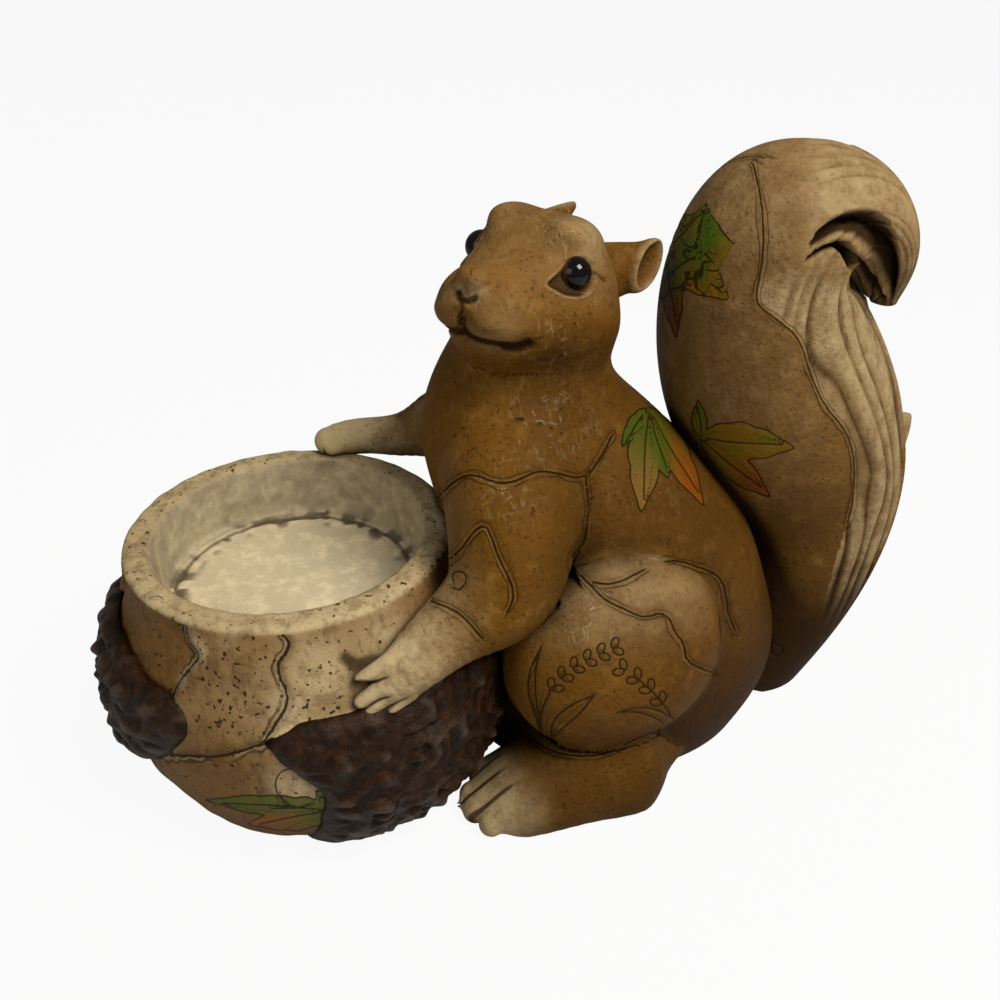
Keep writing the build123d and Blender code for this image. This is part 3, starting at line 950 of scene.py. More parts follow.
def leaf_marks(kind, p, normals, colours):
    """Leaves: signed distance off their outlines, lines of outlines and ribs, and the paint inside."""
    paints = {
        "green": np.array(colours.leaf_green),
        "orange": np.array(colours.leaf_orange),
        "red": np.array(colours.leaf_red),
        "tan": np.array(colours.fur_pale),
    }
    inside = np.full(p.shape[:-1], FAR)
    etched = no_lines(p)
    paint = np.ones((*p.shape[:-1], 4))
    for uv, scale, facing in pictures(p, normals):
        for kinds, root, lobes in LEAVES:
            if kind not in kinds:
                continue
            total = np.zeros((*p.shape[:-1], 3))
            weights = np.zeros(p.shape[:-1])
            leaf = np.full(p.shape[:-1], np.inf)
            for tip, half, name in lobes:
                lobe, rib, rib_ends, bow = leaf_lobe(uv, root, tip, half)
                weight = np.exp(-np.maximum(lobe, -9) / 2.5)
                tint = smoothstep(0.15, 0.85, bow)[..., None]
                body = paints["green"] * 0.9 + paints[name] * 0.1
                total += weight[..., None] * (body * (1 - tint) + paints[name] * tint)
                weights += weight
                leaf = np.minimum(leaf, lobe)
                off_rib = np.hypot(rib, rib_ends) / scale
                etched = nearer_line(etched, off_rib, np.sign(rib), facing & (lobe < 1))
            leaf = np.where(facing, leaf / scale, FAR)
            etched = nearer_line(etched, np.abs(leaf), np.sign(leaf), facing)
            nearer = leaf < inside
            inside = np.where(nearer, leaf, inside)
            mixed = total / np.maximum(weights, 1e-9)[..., None]
            paint[..., :3] = np.where(nearer[..., None], mixed, paint[..., :3])
    return inside, etched, paint


def hatch_marks(p, normals):
    """How strongly the skin is dry-brushed: the sum of soft round patches."""
    total = np.zeros(p.shape[:-1])
    for uv, _, facing in pictures(p, normals):
        for middle, radius, strength in HATCHED:
            total += np.where(facing, strength * patch(uv, middle, radius), 0)
    return np.clip(total, 0, 1)


def crease(name, p, normals):
    """How tightly a neighbour folds against the skin: near it, and more where its surface turns away."""
    off = FIELDS[name](p)
    near = np.flatnonzero(off < 9)
    slope = np.stack([FIELDS[name](p[near] + step) - off[near] for step in 0.5 * np.eye(3)], -1)
    bend = 1 - (unit(slope) * normals[near]).sum(-1)
    folded = np.zeros(len(p))
    folded[near] = bell(np.maximum(off[near], 0), 3.2, 1.2) * smoothstep(0.3, 1.3, bend)
    return folded


def painted_shade_marks(own, p, normals):
    """Painted shade: darkens the folds between a piece and its neighbours, the skin along the bowl, and the
    lower parts.
    """
    total = 0.75 * np.exp(-np.maximum(bowl_field(p), 0) / 2.0)
    for name in FIELDS:
        if name.split("_")[0] not in own:
            total = total + 0.95 * crease(name, p, normals)
    return total + 0.32 * smoothstep(75, 4, p[:, 2])


def unmarked(p):
    """A mark that is nowhere on the piece."""
    return np.zeros(len(p))


def fur_piece(context, name, node, kind, own, parts, cream=unmarked, wash_and_shade=unmarked):
    """A painted piece of the body: seams pressed into its grids, then marks of its paint at every point."""
    colours = context.scene.figurine_colours
    shaped, points, normals = [], [], []
    for grid in parts:
        out = grid_normals(grid)
        seam, _ = drawn_lines(SEAMS, kind, grid, out)
        scratch, _ = scratch_lines(kind, grid, out)
        _, (etched, _), _ = leaf_marks(kind, grid, out, colours)
        press = 0.5 * bell(seam, 1.1) + 0.2 * bell(np.minimum(scratch, etched), 0.6)
        grid = grid - out * press[..., None]
        ends = end_points(grid)
        shaped.append((grid, ends))
        points += [grid.reshape(-1, 3), ends]
        normals += [out.reshape(-1, 3), end_points(out)]
    points = np.concatenate(points)
    normals = unit(np.concatenate(normals))
    leaf, etched, paint = leaf_marks(kind, points, normals, colours)
    seam, seam_across = drawn_lines(SEAMS, kind, points, normals)
    scratch = scratch_lines(kind, points, normals)
    scratch, scratch_across = nearer_line(scratch, etched[0], np.sign(etched[1]), True)
    marks = {
        "seam": seam,
        "seam_across": seam_across,
        "scratch": scratch,
        "scratch_across": scratch_across,
        "leaf": leaf,
        "leaf_paint": paint,
        "hatch": hatch_marks(points, normals),
        "cream": np.clip(cream(points), 0, 1),
        # Painted shade in folds, along the bowl and low down, with the darkening that each piece adds
        "wash_and_shade": np.clip(painted_shade_marks(own, points, normals) + wash_and_shade(points), 0, 1),
    }
    settle(closed_mesh(name, shaped, marks, fur_paint(colours)), node)


# Paints


class Value:
    """A number that a shader node gives; arithmetic on it adds math nodes to its paint."""

    def __init__(self, paint, socket):
        self.paint = paint
        self.socket = socket

    def __add__(self, other):
        return self.paint.math("ADD", self, other)

    def __sub__(self, other):
        return self.paint.math("SUBTRACT", self, other)

    def __rsub__(self, other):
        return self.paint.math("SUBTRACT", other, self)

    def __mul__(self, other):
        return self.paint.math("MULTIPLY", self, other)

    def __abs__(self):
        return self.paint.math("ABSOLUTE", self, 0.0)

    __radd__ = __add__
    __rmul__ = __mul__


class Paint:
    """A material under construction: adds shader nodes that read the piece's own place in millimetres."""

    def __init__(self, name):
        self.material = bpy.data.materials.new(name)
        self.material.use_nodes = True
        self.tree = self.material.node_tree
        self.shader = self.tree.nodes["Principled BSDF"]
        place = self.add("ShaderNodeTexCoord").outputs["Object"]
        scaled_place = self.add("ShaderNodeVectorMath", operation="SCALE")
        self.join(place, scaled_place.inputs[0])
        scaled_place.inputs["Scale"].default_value = 1 / MM
        self.place = scaled_place.outputs["Vector"]

    def add(self, kind, **settings):
        node = self.tree.nodes.new(kind)
        for key, value in settings.items():
            setattr(node, key, value)
        return node

    def join(self, source, socket):
        """Links a socket, or sets a plain value on it."""
        if isinstance(source, Value):
            source = source.socket
        if isinstance(source, bpy.types.NodeSocket):
            self.tree.links.new(source, socket)
        else:
            socket.default_value = source

    def math(self, operation, first, second):
        node = self.add("ShaderNodeMath", operation=operation)
        self.join(first, node.inputs[0])
        self.join(second, node.inputs[1])
        return Value(self, node.outputs[0])

    def highest(self, first, second):
        return self.math("MAXIMUM", first, second)

    def mark(self, name):
        """A mark of the piece: a number at every point."""
        return Value(self, self.add("ShaderNodeAttribute", attribute_name=name).outputs["Fac"])

    def mark_colour(self, name):
        """A mark of the piece: a colour at every point."""
        return self.add("ShaderNodeAttribute", attribute_name=name).outputs["Color"]

    def stretched(self, stretch, turn=(0, 0, 0)):
        """The place squeezed along some axes, for grain and strokes."""
        mapping = self.add("ShaderNodeMapping")
        self.join(self.place, mapping.inputs["Vector"])
        mapping.inputs["Rotation"].default_value = turn
        mapping.inputs["Scale"].default_value = stretch
        return mapping.outputs["Vector"]

    def noise(self, size, detail=4.0, rough=0.55, place=None):
        """Noise with features of about size millimetres, from 0 to 1."""
        node = self.add("ShaderNodeTexNoise")
        self.join(place or self.place, node.inputs["Vector"])
        node.inputs["Scale"].default_value = 1 / size
        node.inputs["Detail"].default_value = detail
        node.inputs["Roughness"].default_value = rough
        return Value(self, node.outputs["Fac"])

    def ramp(self, value, low, high):
        """Rises smoothly from 0 at low to 1 at high; falls where low is the greater."""
        node = self.add("ShaderNodeMapRange", interpolation_type="SMOOTHSTEP")
        self.join(value, node.inputs["Value"])
        node.inputs["From Min"].default_value = min(low, high)
        node.inputs["From Max"].default_value = max(low, high)
        node.inputs["To Min"].default_value = float(low > high)
        node.inputs["To Max"].default_value = float(low < high)
        return Value(self, node.outputs["Result"])

    def scored(self, name, lines, wobble):
        """Lines beside a drawn one: each has its millimetres off it, its half width and its strength."""
        across = self.mark(f"{name}_across")
        near = self.ramp(self.mark(name), 2.6, 1.8)
        total = 0.0
        for i, (apart, half, strength) in enumerate(lines):
            stray = 3.0 * abs(apart) * (self.noise(7 + 3 * i, 2) - 0.5)
            off = across - apart + stray + 0.3 * wobble
            line = self.ramp(abs(off), half, 0.3 * half)
            fade = self.ramp(self.noise(9 + 4 * i, 2), 0.36, 0.5) if apart else 1.0
            total = self.highest(total, line * near * fade * strength)
        return total

    def mix(self, share, first, second):
        """Colour between two, by a share from 0 to 1."""
        node = self.add("ShaderNodeMix", data_type="RGBA")
        self.join(share, node.inputs[0])
        for colour, socket in ((first, node.inputs[6]), (second, node.inputs[7])):
            self.join(colour if isinstance(colour, bpy.types.NodeSocket) else (*colour, 1.0), socket)
        return node.outputs[2]

    def finish(self, colour, height, roughness, specular=0.5):
        """Sets the colour, the height of the bumps in millimetres, the roughness and how much is mirrored."""
        bump = self.add("ShaderNodeBump")
        bump.inputs["Strength"].default_value = 1.0
        bump.inputs["Distance"].default_value = MM
        self.join(height, bump.inputs["Height"])
        self.join(bump.outputs["Normal"], self.shader.inputs["Normal"])
        self.join(colour, self.shader.inputs["Base Color"])
        self.join(roughness, self.shader.inputs["Roughness"])
        self.shader.inputs["Specular IOR Level"].default_value = specular
        return self.material


def scaled(colour, times):
    """A colour made darker or lighter."""
    return tuple(times * channel for channel in colour)


def once(make):
    """Makes a paint the first time it is asked for, and gives the same one after that."""
    def given(colours):
        name = make.__name__
        return bpy.data.materials.get(name) or make(colours, Paint(name))
    return given


@once
def fur_paint(colours, paint):
    """Caramel fur: mottled and speckled, darkened in grooves and by painted shade in folds, cream dry-brushed
    on, leaves painted over.
    """
    fur, pale, wash_and_shade, cream = colours.fur, colours.fur_pale, colours.wash_and_shade, colours.cream
    cloud = paint.noise(34, 5, 0.6)
    mottle = paint.noise(7, 5, 0.62)
    grit = paint.noise(1.6, 4, 0.65)
    colour = paint.mix(paint.ramp(cloud, 0.32, 0.72), scaled(fur, 0.68), fur)
    colour = paint.mix(0.55 * paint.ramp(mottle, 0.5, 0.78), colour, pale)
    colour = paint.mix(0.42 * paint.ramp(grit, 0.46, 0.3), colour, wash_and_shade)
    patches = paint.ramp(paint.noise(16, 3), 0.42, 0.62)
    pits = paint.ramp(paint.noise(1.15, 2, 0.4), 0.36, 0.27)
    dark_pits = pits * patches
    colour = paint.mix(0.45 * dark_pits, colour, wash_and_shade)

    brushed = paint.mark("cream") * (paint.ramp(mottle + 0.5 * grit, 0.45, 0.95) + 0.55)
    colour = paint.mix(paint.math("MINIMUM", brushed, 0.96), colour, cream)
    strokes = paint.noise(1.1, 3, 0.6, paint.stretched((1.0, 0.22, 0.22), (0.4, 0.5, 0.9)))
    cross = paint.noise(1.0, 3, 0.6, paint.stretched((0.22, 1.0, 0.22), (0.9, -0.4, 0.3)))
    hair = paint.ramp(paint.highest(strokes, cross), 0.56, 0.7) * paint.mark("hatch")
    colour = paint.mix(0.7 * hair, colour, scaled(cream, 0.9))

    wobble = 1.1 * (paint.noise(2.2, 3) - 0.5)
    leaf = paint.mark("leaf") + 0.5 * wobble
    on_leaf = paint.ramp(leaf, 0.35, -0.25)
    worn = paint.ramp(mottle + 0.4 * grit, 0.42, 0.72)
    leaf_paint = paint.mix(0.2 * worn, paint.mark_colour("leaf_paint"), pale)
    leaf_paint = paint.mix(paint.ramp(cloud, 0.58, 0.36), leaf_paint, colours.leaf_orange)
    leaf_paint = paint.mix(0.55, paint.mark_colour("leaf_paint"), leaf_paint)
    colour = paint.mix(0.93 * on_leaf, colour, leaf_paint)

    cut = paint.scored("seam", [(0.0, 0.32, 0.95), (1.15, 0.24, 0.6), (-1.05, 0.22, 0.4)], 1.5 * wobble)
    line = paint.scored("scratch", [(0.0, 0.3, 0.9)], 0.4 * wobble)
    stain = paint.ramp(paint.mark("seam"), 3.2, 0.3)
    lit = paint.scored("seam", [(0.6, 0.3, 0.4), (-0.55, 0.28, 0.3)], 1.5 * wobble)
    colour = paint.mix(0.28 * stain, colour, scaled(fur, 0.4))
    colour = paint.mix(lit, colour, pale)
    colour = paint.mix(0.9 * paint.highest(cut, line), colour, wash_and_shade)
    # Painted shade and antique darkening from the piece's mark, mixed toward the dark colour
    depth = paint.ramp(paint.mark("wash_and_shade") + 0.12 * wobble, 0.12, 0.95)
    colour = paint.mix(0.9 * depth, colour, wash_and_shade)

    height = 0.4 * grit + 0.7 * mottle - 0.3 * dark_pits - 0.55 * cut - 0.4 * line + 0.25 * hair
    return paint.finish(colour, height, 0.46 + 0.22 * mottle, 0.05)


@once
def nut_paint(colours, paint):
    """Shell of the nut: tan and cream, cracked and pitted, with a pale smooth recess."""
    nut, cream, wash_and_shade, inside = colours.nut, colours.cream, colours.wash_and_shade, colours.floor_cream
    cloud = paint.noise(26, 5, 0.62)
    mottle = paint.noise(5, 5, 0.65)
    grit = paint.noise(1.3, 4, 0.65)
    rough_grain = paint.noise(2.2, 4, 0.6, paint.stretched((1.0, 1.0, 0.35), (0.5, 0.3, 0.0)))
    tone = paint.mark("cream") + 0.7 * (cloud - 0.5)
    colour = paint.mix(paint.ramp(tone, 0.0, 1.0), nut, cream)
    colour = paint.mix(0.4 * paint.ramp(mottle, 0.54, 0.36), colour, scaled(nut, 0.45))
    colour = paint.mix(0.3 * paint.ramp(rough_grain, 0.46, 0.34), colour, wash_and_shade)
    colour = paint.mix(0.3 * paint.ramp(grit, 0.42, 0.3), colour, wash_and_shade)
    in_recess = paint.mark("recess")
    aged = paint.mix(paint.ramp(mottle, 0.42, 0.72), scaled(inside, 0.74), inside)
    colour = paint.mix(in_recess, colour, aged)
    pock = paint.noise(1.5, 2, 0.4) - 0.07 * paint.mark("pitted")
    pits = paint.ramp(pock, 0.33, 0.27) * (1.0 - 0.85 * in_recess)
    colour = paint.mix(0.9 * pits, colour, wash_and_shade)

    wobble = 1.4 * (paint.noise(2.0, 3) - 0.5)
    leaf = paint.mark("leaf") + 0.5 * wobble
    worn = paint.ramp(mottle + 0.4 * grit, 0.42, 0.72)
    leaf_paint = paint.mix(0.35 * worn, paint.mark_colour("leaf_paint"), nut)
    colour = paint.mix(0.9 * paint.ramp(leaf, 0.35, -0.25), colour, leaf_paint)
    crack = paint.scored("seam", [(0.0, 0.42, 1.0), (1.3, 0.34, 0.6)], 3.2 * wobble)
    # Painted highlight along the edge of the crack
    ridge = paint.scored("seam", [(0.7, 0.5, 0.4)], 3.2 * wobble)
    colour = paint.mix(ridge, colour, cream)
    stain = paint.ramp(paint.mark("seam") + wobble, 3.0, 0.3)
    scratch = paint.scored("scratch", [(0.0, 0.32, 1.0)], 0.4 * wobble)
    colour = paint.mix(0.35 * stain, colour, scaled(nut, 0.3))
    colour = paint.mix(0.92 * paint.highest(crack, scratch), colour, wash_and_shade)
    # Painted shade near the body and low on the shell, with grime in the recess, mixed toward the dark colour
    depth = paint.ramp(paint.mark("wash_and_shade") + 0.15 * wobble, 0.1, 0.95)
    colour = paint.mix(0.85 * depth, colour, scaled(wash_and_shade, 1.6))
    height = 0.25 * grit + 0.6 * mottle + 0.3 * rough_grain - 0.5 * pits
    height = height * (1.0 - 0.8 * in_recess) - 0.8 * crack
    return paint.finish(colour, height, 0.5 + 0.2 * mottle, 0.12)


@once
def husk_paint(colours, paint):
    """Dark husk: rough and lumpy, half gloss, tips rubbed paler."""
    husk = colours.husk
    lumps = paint.noise(4.0, 5, 0.6)
    grit = paint.noise(1.2, 4, 0.65)
    colour = paint.mix(paint.ramp(lumps, 0.36, 0.7), scaled(husk, 0.5), scaled(husk, 1.5))
    rubbed = 0.4 * paint.ramp(paint.mark("bump") + 0.4 * grit, 0.75, 1.25)
    colour = paint.mix(rubbed, colour, colours.husk_pale)
    height = 1.1 * lumps + 0.35 * grit
    return paint.finish(colour, height, 0.26 + 0.22 * grit, 0.12)


@once
def eye_paint(colours, paint):
    """Black glossy eye with a brown edge."""
    edge = paint.ramp(paint.mark("edge") + 0.12 * paint.noise(0.8, 3), 1.35, 1.5)
    colour = paint.mix(0.8 * edge, colours.eye, colours.eye_edge)
    return paint.finish(colour, 0.01 * paint.noise(0.6, 2), 0.06 + 0.1 * edge, 0.3)


@once
def dowel_paint(colours, paint):
    """Bare turned wood: grain drawn out along the length, fine pores."""
    wood = colours.dowel
    grain = paint.noise(2.0, 5, 0.6, paint.stretched((0.2, 0.2, 1.0)))
    pores = paint.ramp(paint.noise(0.7, 3), 0.38, 0.28)
    colour = paint.mix(paint.ramp(grain, 0.35, 0.68), scaled(wood, 0.6), wood)
    colour = paint.mix(0.4 * pores, colour, scaled(wood, 0.3))
    return paint.finish(colour, 0.1 * grain, 0.55 + 0.2 * grain)


@once
def felt_paint(colours, paint):
    """Felt: matted fibres, a little fuzz of sheen."""
    felt = colours.felt
    fibres = paint.noise(0.8, 5, 0.75)
    tufts = paint.noise(4.0, 4, 0.6)
    colour = paint.mix(paint.ramp(fibres, 0.35, 0.65), scaled(felt, 0.55), felt)
    colour = paint.mix(0.3 * paint.ramp(tufts, 0.5, 0.7), colour, scaled(felt, 1.6))
    paint.shader.inputs["Sheen Weight"].default_value = 0.3
    return paint.finish(colour, 0.3 * fibres, 0.8 + 0.15 * fibres)


# Operators, one for each piece or group of like pieces


def back_darkening(p):
    """Darker toward the back of the body."""
    return 0.49 * smoothstep(-34, 0, p[:, 0])


class FIGURINE_OT_torso(bpy.types.Operator):
    """Builds the torso's skin"""

    bl_idname = "figurine.torso"
    bl_label = "Torso"

    def execute(self, context):
        sizes = context.scene.figurine_sizes
        low = np.linspace(BASE_Z, NECK_FOOT, place_rows(NECK_FOOT, sizes.skin_step), endpoint=False)
        high = np.linspace(NECK_FOOT, NECK_TOP + 8, place_rows(75, sizes.skin_step))
        heights = np.concatenate([low, high])
        path = np.stack([torso_rows(heights)[:, 0], 0 * heights, heights], -1)
        starts, rays = ray_grid(path, place_rows(290, sizes.skin_step), first=(1.0, 0.0, 0.0))
        near = [name for name in FIELDS if name != "torso"]
        grid = skin_of("torso", near, starts, unit(rays * (1, 1, 0)), sizes)
        fur_piece(context, "torso_skin", "torso", "torso", "torso head", [grid], wash_and_shade=back_darkening)
        return {"FINISHED"}


def head_cream(p):
    """Cream spots, a paler crown and a pale edge on the lower lids."""
    q = near_side(p)
    crown = 0.08 * smoothstep(-6, 6, q[:, 2])
    lids = 0.22 * bell(face_lines(q)["eye"] - 0.4, 0.4) * smoothstep(7.0, 3.0, q[:, 2])
    total = crown + lids
    for middle, spread, strength in HEAD_SPOTS:
        total = total + strength * bell(np.linalg.norm(q - middle, axis=1), spread)
    return total


def head_darkening_and_shade(p):
    """Dark paint in the face's lines and the eyes' sockets, painted shade under the mouth, and darker low on
    the cheeks.
    """
    q = near_side(p)
    off = face_lines(q)
    lines = sum(strength * bell(off[name], half) for name, (strength, half) in FACE_WASH.items())
    # Painted shade under the lower lip
    chin = 0.3 * bell(off["below"], 2.5) * (off["below"] > 0) * smoothstep(*LIPS_FADE, q[:, 0])
    socket = 0.75 * smoothstep(0.25, -0.5, off["eye"])
    cheek = back_darkening(p) * smoothstep(4, -10, q[:, 2]) * smoothstep(*CHEEK_FADE, q[:, 0])
    return lines + chin + socket + cheek


class FIGURINE_OT_head(bpy.types.Operator):
    """Builds the head's skin with muzzle, mouth and lids"""

    bl_idname = "figurine.head"
    bl_label = "Head"

    def execute(self, context):
        sizes = context.scene.figurine_sizes
        fine = 0.55 * sizes.skin_step
        ahead = np.linspace(*HEAD_SPINE, place_rows(HEAD_SPINE[1] - HEAD_SPINE[0], fine))
        path = from_head(np.stack([ahead, 0 * ahead, head_rows(ahead)[:, 0]], -1))
        starts, rays = ray_grid(path, place_rows(135, fine), place_rows(26, fine), HEAD_AXES[2])
        grid = skin_of("head", ["torso"], starts, rays, sizes)
        # The rings about the pole at the back give way to a shallow dome
        rear = place_rows(7, fine)
        share = np.linspace(0, 1, rear)[:, None, None]
        middle = grid[rear].mean(axis=0)
        grid[:rear] = middle + share * (grid[rear] - middle) - REAR_DOME * (1 - share**2) * HEAD_AXES[0]
        fur_piece(context, "head_skin", "head", "head", "head torso", [grid], head_cream, head_darkening_and_shade)
        return {"FINISHED"}


class FIGURINE_OT_eyes(bpy.types.Operator):
    """Builds the two glass eyes"""

    bl_idname = "figurine.eyes"
    bl_label = "Eyes"

    def execute(self, context):
        colours = context.scene.figurine_colours
        around = 64
        polar = np.linspace(0, np.pi, 42)[1:-1, None, None]
        turn = np.linspace(0, 2 * np.pi, around, endpoint=False)[None, :, None]
        edge = np.concatenate([np.repeat(polar[:, 0, 0], around), [0, np.pi]])
        for word, side in SIDE.items():
            out = unit(HEAD_AXES[1] * side + 0.25 * HEAD_AXES[0] + 0.2 * HEAD_AXES[2])
            across = unit(np.cross(out, HEAD_AXES[2]))
            up = np.cross(across, out)
            aside = 1.0 if side > 0 else -1.0 / (1.0 + FAR_SQUEEZE)
            centre = from_head(EYE_SEAT * (1, aside, 1))
            ball = np.cos(polar) * out + np.sin(polar) * (np.cos(turn) * across + np.sin(turn) * up)
            grid = centre + EYE_RADIUS * ball
            ends = centre + EYE_RADIUS * np.stack([out, -out])
            piece = closed_mesh(f"eye_{word}_ball", [(grid, ends)], {"edge": edge}, eye_paint(colours))
            settle(piece, f"eye_{word}")
        return {"FINISHED"}


# Ear: distance along it, half height and half thickness of its rings, from the root over the rim inward
EAR_ROWS = [
    (-4.0, 8.8, 5.6),
    (1.0, 8.2, 5.2),
    (6.0, 7.2, 4.7),
    (11.0, 6.6, 4.5),
    (14.0, 6.6, 4.6),
    (14.6, 6.1, 4.2),
    (13.6, 5.4, 3.6),
    (10.5, 4.4, 2.9),
    (8.0, 2.9, 1.9),
    (7.0, 0.8, 0.5),
]
EAR_STEP = 0.4
EAR_SLANT = 4.6
EAR_TIP_TURN = np.radians(50.0)


class FIGURINE_OT_ears(bpy.types.Operator):
    """Builds the two cupped ears: rings carried out to a slanting rim and back down into the hollow"""

    bl_idname = "figurine.ears"
    bl_label = "Ears"

    def execute(self, context):
        path, length = path_spline(EAR_ROWS)
        rows = path(np.linspace(0, length, place_rows(length, EAR_STEP)))
        distance, tall, thick = (rows[:, i][:, None] for i in range(3))
        turn = np.linspace(0, 2 * np.pi, place_rows(42, EAR_STEP), endpoint=False)[None]
        outside = np.flatnonzero(rows[:, 0] == rows[:, 0].max())[0]
        order = np.concatenate([np.repeat(np.arange(len(rows)), turn.shape[1]), [0, len(rows)]])
        past_rim = order - outside

        def rim(_):
            """Cream on the rim."""
            return 0.3 * bell(past_rim, 0.06 * len(rows))

        def hollow(_):
            """Painted shade down in the hollow."""
            return 0.8 * smoothstep(0, 0.3 * len(rows), past_rim)

        for name, (seat, direction) in EARS.items():
            side = SIDE[name.split("_")[1]]
            along = unit(np.array(direction) @ HEAD_AXES)
            upward = side * unit(np.cross(HEAD_AXES[0], along))
            backward = side * np.cross(upward, along)
            to_tip = np.cos(turn - EAR_TIP_TURN)
            reach = distance + EAR_SLANT * to_tip * smoothstep(2, 14, distance)
            point = 1 + 0.16 * np.clip(to_tip, 0, 1) ** 3 * smoothstep(6, 14, distance)
            grid = from_head(seat) + reach[..., None] * along
            grid = grid + (tall * point * np.cos(turn))[..., None] * upward
            grid = grid + (thick * point * np.sin(turn))[..., None] * backward
            grid = grid + 0.25 * lattice_noise(grid / 5, 3)[..., None] * grid_normals(grid)
            fur_piece(context, f"{name}_cup", name, "ear", "head torso", [grid], rim, hollow)
        return {"FINISHED"}


def toe_cream(p):
    """Cream on the toes, fading up the foot, and a dry-brushed top of the haunch."""
    toes = smoothstep(-4, -24, p[:, 0]) * smoothstep(24, 12, p[:, 2])
    return 0.55 * toes + 0.2 * smoothstep(60, 84, p[:, 2])


class FIGURINE_OT_hind_legs(bpy.types.Operator):
    """Builds the skins of both haunches and feet"""

    bl_idname = "figurine.hind_legs"
    bl_label = "Hind legs"

    def execute(self, context):
        sizes = context.scene.figurine_sizes
        fine = 0.68 * sizes.skin_step
        for word, side in SIDE.items():
            across = np.linspace(-6, 6, 3)[:, None] * np.array((0.0, side, 0.0))
            path = HAUNCH_CENTRE * (1, -side, 1) + across
            starts, rays = ray_grid(path, place_rows(200, fine), place_rows(50, fine))
            near = ["torso", f"foot_{word}", f"foreleg_{word}"]
            haunch = skin_of(f"haunch_{word}", near, starts, rays, sizes)
            along = np.linspace(24, -21, place_rows(45, fine))
            path = np.stack([along, 0 * along - side * FOOT_Y, 4 + 0.12 * (along + 21)], -1)
            starts, rays = ray_grid(path, place_rows(90, fine), place_rows(18, fine))
            foot = skin_of(f"foot_{word}", ["torso", f"haunch_{word}"], starts, rays, sizes)

            def toe_gap_shade(p, side=side):
                """Painted shade between the toes, and darker toward the back."""
                across = mirrored(p, side)[:, 1] - FOOT_Y
                gaps = sum(bell(across - gap, 0.5) for gap in TOE_GAPS)
                low_front = smoothstep(-13, -19, p[:, 0]) * smoothstep(18, 12, p[:, 2])
                return 0.95 * gaps * low_front + 0.5 * back_darkening(p)

            name = f"hind_leg_{word}"
            parts = [haunch, foot]
            fur_piece(context, f"{name}_skin", name, "hind_leg", "haunch foot", parts, toe_cream, toe_gap_shade)
        return {"FINISHED"}


def paw_cream(p):
    """Cream on the paws, reaching further up the right foreleg."""
    right = (p[:, 1] > 0) * smoothstep(-14, -40, p[:, 0])
    return 0.75 * smoothstep(-24, -56, p[:, 0]) + 0.25 * right


class FIGURINE_OT_forelegs(bpy.types.Operator):
    """Builds the skins of both forelegs with their fingers"""

    bl_idname = "figurine.forelegs"
    bl_label = "Forelegs"

    def execute(self, context):
        sizes = context.scene.figurine_sizes
        fine = 0.62 * sizes.skin_step
        for name, (path_at, length) in FORELEG_PATHS.items():
            path = path_at(np.linspace(4, length, place_rows(length, fine)))[:, :3]
            starts, rays = ray_grid(path, place_rows(75, fine), place_rows(16, fine))
            near = ["torso", name.replace("foreleg", "haunch")]
            grid = skin_of(name, near, starts, rays, sizes)
            fingers = FORELEG_FINGERS[name]

            def finger_gap_shade(p, fingers=fingers):
                """Painted shade where two fingers are equally near, and darker toward the back."""
                off = np.sort(np.stack([off_path(p, points, radii) for points, radii in fingers]), axis=0)
                return bell(off[1] - off[0], 0.6) * smoothstep(2.0, 0.4, off[0]) + back_darkening(p)

            fur_piece(context, f"{name}_skin", name, name, "foreleg", [grid], paw_cream, finger_gap_shade)
        return {"FINISHED"}


# Lip at the tail's rear edge: its height, how far it stands out and spreads up and down; the notch above it
LIP_HEIGHT = 93.0
LIP_OUT = 7.0
LIP_SPREAD = (3.2, 17.0)
NOTCH_RISE = 11.0
NOTCH_DEPTH = 1.8
NOTCH_SPREAD = 5.0
REAR_X = 105.0
# Nub on the curl: its place along and around the tail, its spread in both, its height
NUB_AT = (0.955, 0.9 * np.pi)
NUB_SPREAD = (0.012, 0.12)
NUB_HEIGHT = 2.4
TIP_LENGTH = 3.5
RIDGE = SEAMS[-1][1]
RIDGE_WIDTH = 0.9
# Hollows under the curl, in the picture's pixels: edge that overhangs, edge the floor rises to, depth
CURL_HOLLOWS = [
    (
        [
            (797, 271), (807, 250), (818, 231), (834, 217), (859, 209), (884, 214), (898, 239), (901, 267),
            (894, 306),
        ],
        [(797, 272), (807, 256), (818, 247), (832, 241), (846, 239), (859, 253), (873, 276), (888, 304)],
        6.5,
    ),
    (
        [(799, 269), (808, 257), (818, 249), (832, 243), (846, 241), (859, 255), (873, 278), (886, 306)],
        [(797, 274), (808, 264), (818, 259), (834, 252), (843, 264), (857, 289), (878, 309)],
        8.5,
    ),
]


def tail_section(turn):
    """A section on half sizes of 1: a half ellipse in front, two cubic curves to a blunt edge at the rear."""
    share = 1 - np.clip(np.abs(turn) / (np.pi / 2), 0, 1)
    rest = 1 - share
    behind = 3 * rest**2 * share * TAIL_FULLNESS + 3 * rest * share**2 + share**3
    aside = rest**3 + 3 * rest**2 * share + 3 * rest * share**2 * TAIL_BLUNTNESS
    in_front = np.abs(turn) > np.pi / 2
    return np.where(in_front, np.cos(turn), behind), np.where(in_front, np.sin(turn), np.sign(turn) * aside)


def curl_hollow(uv):
    """Depth of the hollows under the curl: deepest below the edge that overhangs, rising to the other."""
    depth = np.zeros(uv.shape[:-1])
    for over, under, deepest in CURL_HOLLOWS:
        below, side_over = off_drawn(uv, over)
        above, side_under = off_drawn(uv, under)
        inside = (side_over > 0) & (side_under < 0)
        floor = smoothstep(0, 1, above / (above + below + 1e-9))
        floor = floor * smoothstep(0.0, 2.5, below) * smoothstep(0, 9, above)
        depth = np.where(inside, np.maximum(depth, deepest * floor), depth)
    return depth


